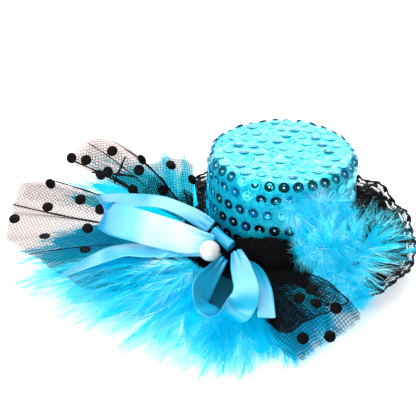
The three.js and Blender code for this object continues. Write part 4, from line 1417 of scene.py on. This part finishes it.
def make_ribbon(name, ends_in_knot):
    """A satin strip along its stations, gathered in soft pleats where the knot holds it."""
    s = np.linspace(0, 1, RIBBON_STEPS)
    middle, across, face, width = ribbon_at(RIBBONS[name], s)
    lengths = np.concatenate([[0], np.cumsum(np.linalg.norm(np.diff(middle, axis=0), axis=1))])
    length = lengths[-1]
    c = np.linspace(-1, 1, RIBBON_CROSS)
    pinch = np.exp(-lengths / PINCH_REACH)
    if ends_in_knot:
        pinch = pinch + np.exp((lengths - length) / PINCH_REACH)
    pleat = 0.7 * pinch[:, None] * np.cos(c * 2.5 * math.pi) + 0.2 * (c**2 - 0.4)
    wave = 0.25 * np.sin(lengths / 5.5)[:, None] * c
    points = moved(middle[:, None], (across[:, None], width[:, None] / 2 * c), (face[:, None], pleat + wave))
    ribbon = sew(name + "_satin", points, grid_faces(RIBBON_STEPS, RIBBON_CROSS))
    weave_map(ribbon, np.repeat(lengths, RIBBON_CROSS), np.tile((c + 1) * RIBBON_HALF, RIBBON_STEPS))
    # painted highlight: the sheen charted along the ribbon goes into its colour
    shade_attribute(ribbon, np.repeat(np.interp(s, *RIBBON_PAINTED_SHEEN[name]), RIBBON_CROSS))
    apply_modifier(ribbon, "SOLIDIFY", thickness=RIBBON_THICKNESS * MM, offset=0.0)
    apply_modifier(ribbon, "SUBSURF", levels=1, render_levels=1)
    dress(ribbon, SATIN, [name])


def make_knot():
    """The bow's middle: satin rolled tight, with folds along it and its ends closed."""
    rings, sides = KNOT_GRID
    axis = unit(np.array(KNOT["axis"]))
    aside = unit(np.cross(axis, UP))
    face = np.cross(axis, aside)
    t, turn = np.meshgrid(np.linspace(-1, 1, rings), round_angles(sides), indexing="ij")
    folds = 0.07 * np.cos(4 * turn + 0.9 * t) + 0.035 * np.cos(9 * turn - 1.5 * t)
    closing = np.sqrt(np.maximum(1 - ease(np.abs(t), 0.86, 1.0) ** 2 * 0.9, 0.02))
    radius = KNOT["radius"] * (0.93 + 0.10 * np.abs(t) ** 2 + folds) * closing
    points = moved(
        np.array(KNOT["place"]), (axis, t * KNOT["length"] / 2),
        (aside, radius * np.cos(turn)), (face, radius * np.sin(turn)),
    )
    knot = sew("ribbon_knot_satin", points, grid_faces(rings, sides, wrap=True)[:, ::-1])
    weave_map(knot, turn * KNOT["radius"], (t + 1) * KNOT["length"] / 2)
    shade_attribute(knot, np.full(t.size, KNOT_PAINTED_SHEEN))
    with editing(knot):
        bpy.ops.mesh.region_to_loop()
        bpy.ops.mesh.fill()
        bpy.ops.mesh.select_all(action="SELECT")
        bpy.ops.mesh.normals_make_consistent(inside=False)
    dress(knot, SATIN, ["ribbon_knot"])


def make_pearl():
    """A round bead, turned so that its poles don't face the camera."""
    deselect_all()
    radius = PEARL["diameter"] / 2 * MM
    place = tuple(np.array(PEARL["place"]) * MM)
    bpy.ops.mesh.primitive_uv_sphere_add(segments=48, ring_count=24, radius=radius, location=place)
    pearl = bpy.context.object
    pearl.name = pearl.data.name = "pearl_bead"
    with editing(pearl):
        bpy.ops.transform.rotate(value=PEARL_TURN, orient_axis="Y", center_override=place)
    bpy.ops.object.transform_apply(location=True, rotation=True, scale=True)
    dress(pearl, PEARL_LOOK, ["pearl"])


make_knot()
for ribbon_name in RIBBONS:
    make_ribbon(ribbon_name, ends_in_knot="loop" in ribbon_name)
make_pearl()

# Clip

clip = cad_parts["hair_clip"]
clip.data.materials.clear()
clip.data.materials.append(STEEL)

# Floor, light and camera, in metres

FLOOR_SIZE = 6
FLOOR_GLOW = 0.4
WORLD_STRENGTH = 0.46
CAMERA = {"place": (-0.036058, -0.430146, 0.274379), "look_down": 30.5, "lens": 86.54, "sensor": 36.0}
# name, place, target, size, power
LAMPS = (
    ("overhead", (-0.1, 0.3, 0.9), (0, 0, 0), (0.9, 0.7), 4.7),
    ("back_softbox", (0.1, 0.9, 0.55), (0, 0, 0.03), (1.1, 0.6), 5.0),
    ("left_fill", (-0.7, -0.5, 0.6), (-0.03, -0.03, 0.02), (0.5, 0.5), 2.0),
    ("front_fill", (-0.3, -1.1, 0.45), (-0.03, -0.03, 0.02), (1.2, 0.5), 6.4),
)


def make_stage():
    deselect_all()
    bpy.ops.mesh.primitive_plane_add(size=FLOOR_SIZE, location=(0, 0, 0))
    floor = bpy.context.object
    floor.name = "floor"
    look, tree, shader = new_look(
        "pale_floor", Roughness=0.9, Specular_IOR_Level=0.1,
        Emission_Color=(1, 1, 1, 1), Emission_Strength=FLOOR_GLOW,
    )
    grain = noise(tree, object_place(tree), 30)
    paint(tree, shader, grain, [(0.3, (0.93, 0.93, 0.94)), (0.7, (0.95, 0.95, 0.955))])
    floor.data.materials.append(look)


def make_world():
    """A studio that is bright behind and above the hat and dim behind the camera."""
    world = bpy.data.worlds.new("studio")
    world.use_nodes = True
    bpy.context.scene.world = world
    tree = world.node_tree
    way = add_node(tree, "ShaderNodeTexCoord").outputs["Generated"]
    back = add_node(tree, "ShaderNodeSeparateXYZ", {"Vector": way}).outputs["Y"]
    ends = {"From Min": -0.35, "From Max": 0.35, "To Min": 0.0, "To Max": 1.0}
    depth = add_node(tree, "ShaderNodeMapRange", {"Value": back}, ends).outputs["Result"]
    sky = tree.nodes["Background"].inputs
    tree.links.new(ramp(tree, depth, [(0.0, (0.16, 0.165, 0.17)), (1.0, (1.0, 1.0, 1.0))]), sky["Color"])
    sky["Strength"].default_value = WORLD_STRENGTH


def area_light(name, place, target, size, power):
    light = bpy.data.lights.new(name, "AREA")
    light.shape = "RECTANGLE"
    light.size, light.size_y = size
    light.energy = power
    lamp = bpy.data.objects.new(name, light)
    lamp.location = place
    way = np.array(target) - np.array(place)
    down = math.acos(-way[2] / np.linalg.norm(way))
    lamp.rotation_euler = (down, 0, math.atan2(way[1], way[0]) - math.pi / 2)
    bpy.context.scene.collection.objects.link(lamp)


def make_camera():
    lens = bpy.data.cameras.new("photo_camera")
    lens.sensor_width = CAMERA["sensor"]
    lens.lens = CAMERA["lens"]
    lens.clip_start = 0.01
    camera = bpy.data.objects.new("photo_camera", lens)
    camera.location = CAMERA["place"]
    camera.rotation_euler = (math.radians(90 - CAMERA["look_down"]), 0, 0)
    bpy.context.scene.collection.objects.link(camera)
    bpy.context.scene.camera = camera


make_stage()
make_world()
for lamp_row in LAMPS:
    area_light(*lamp_row)
make_camera()
bpy.context.scene.view_settings.view_transform = "Standard"
bpy.context.scene.view_settings.look = "Medium High Contrast"
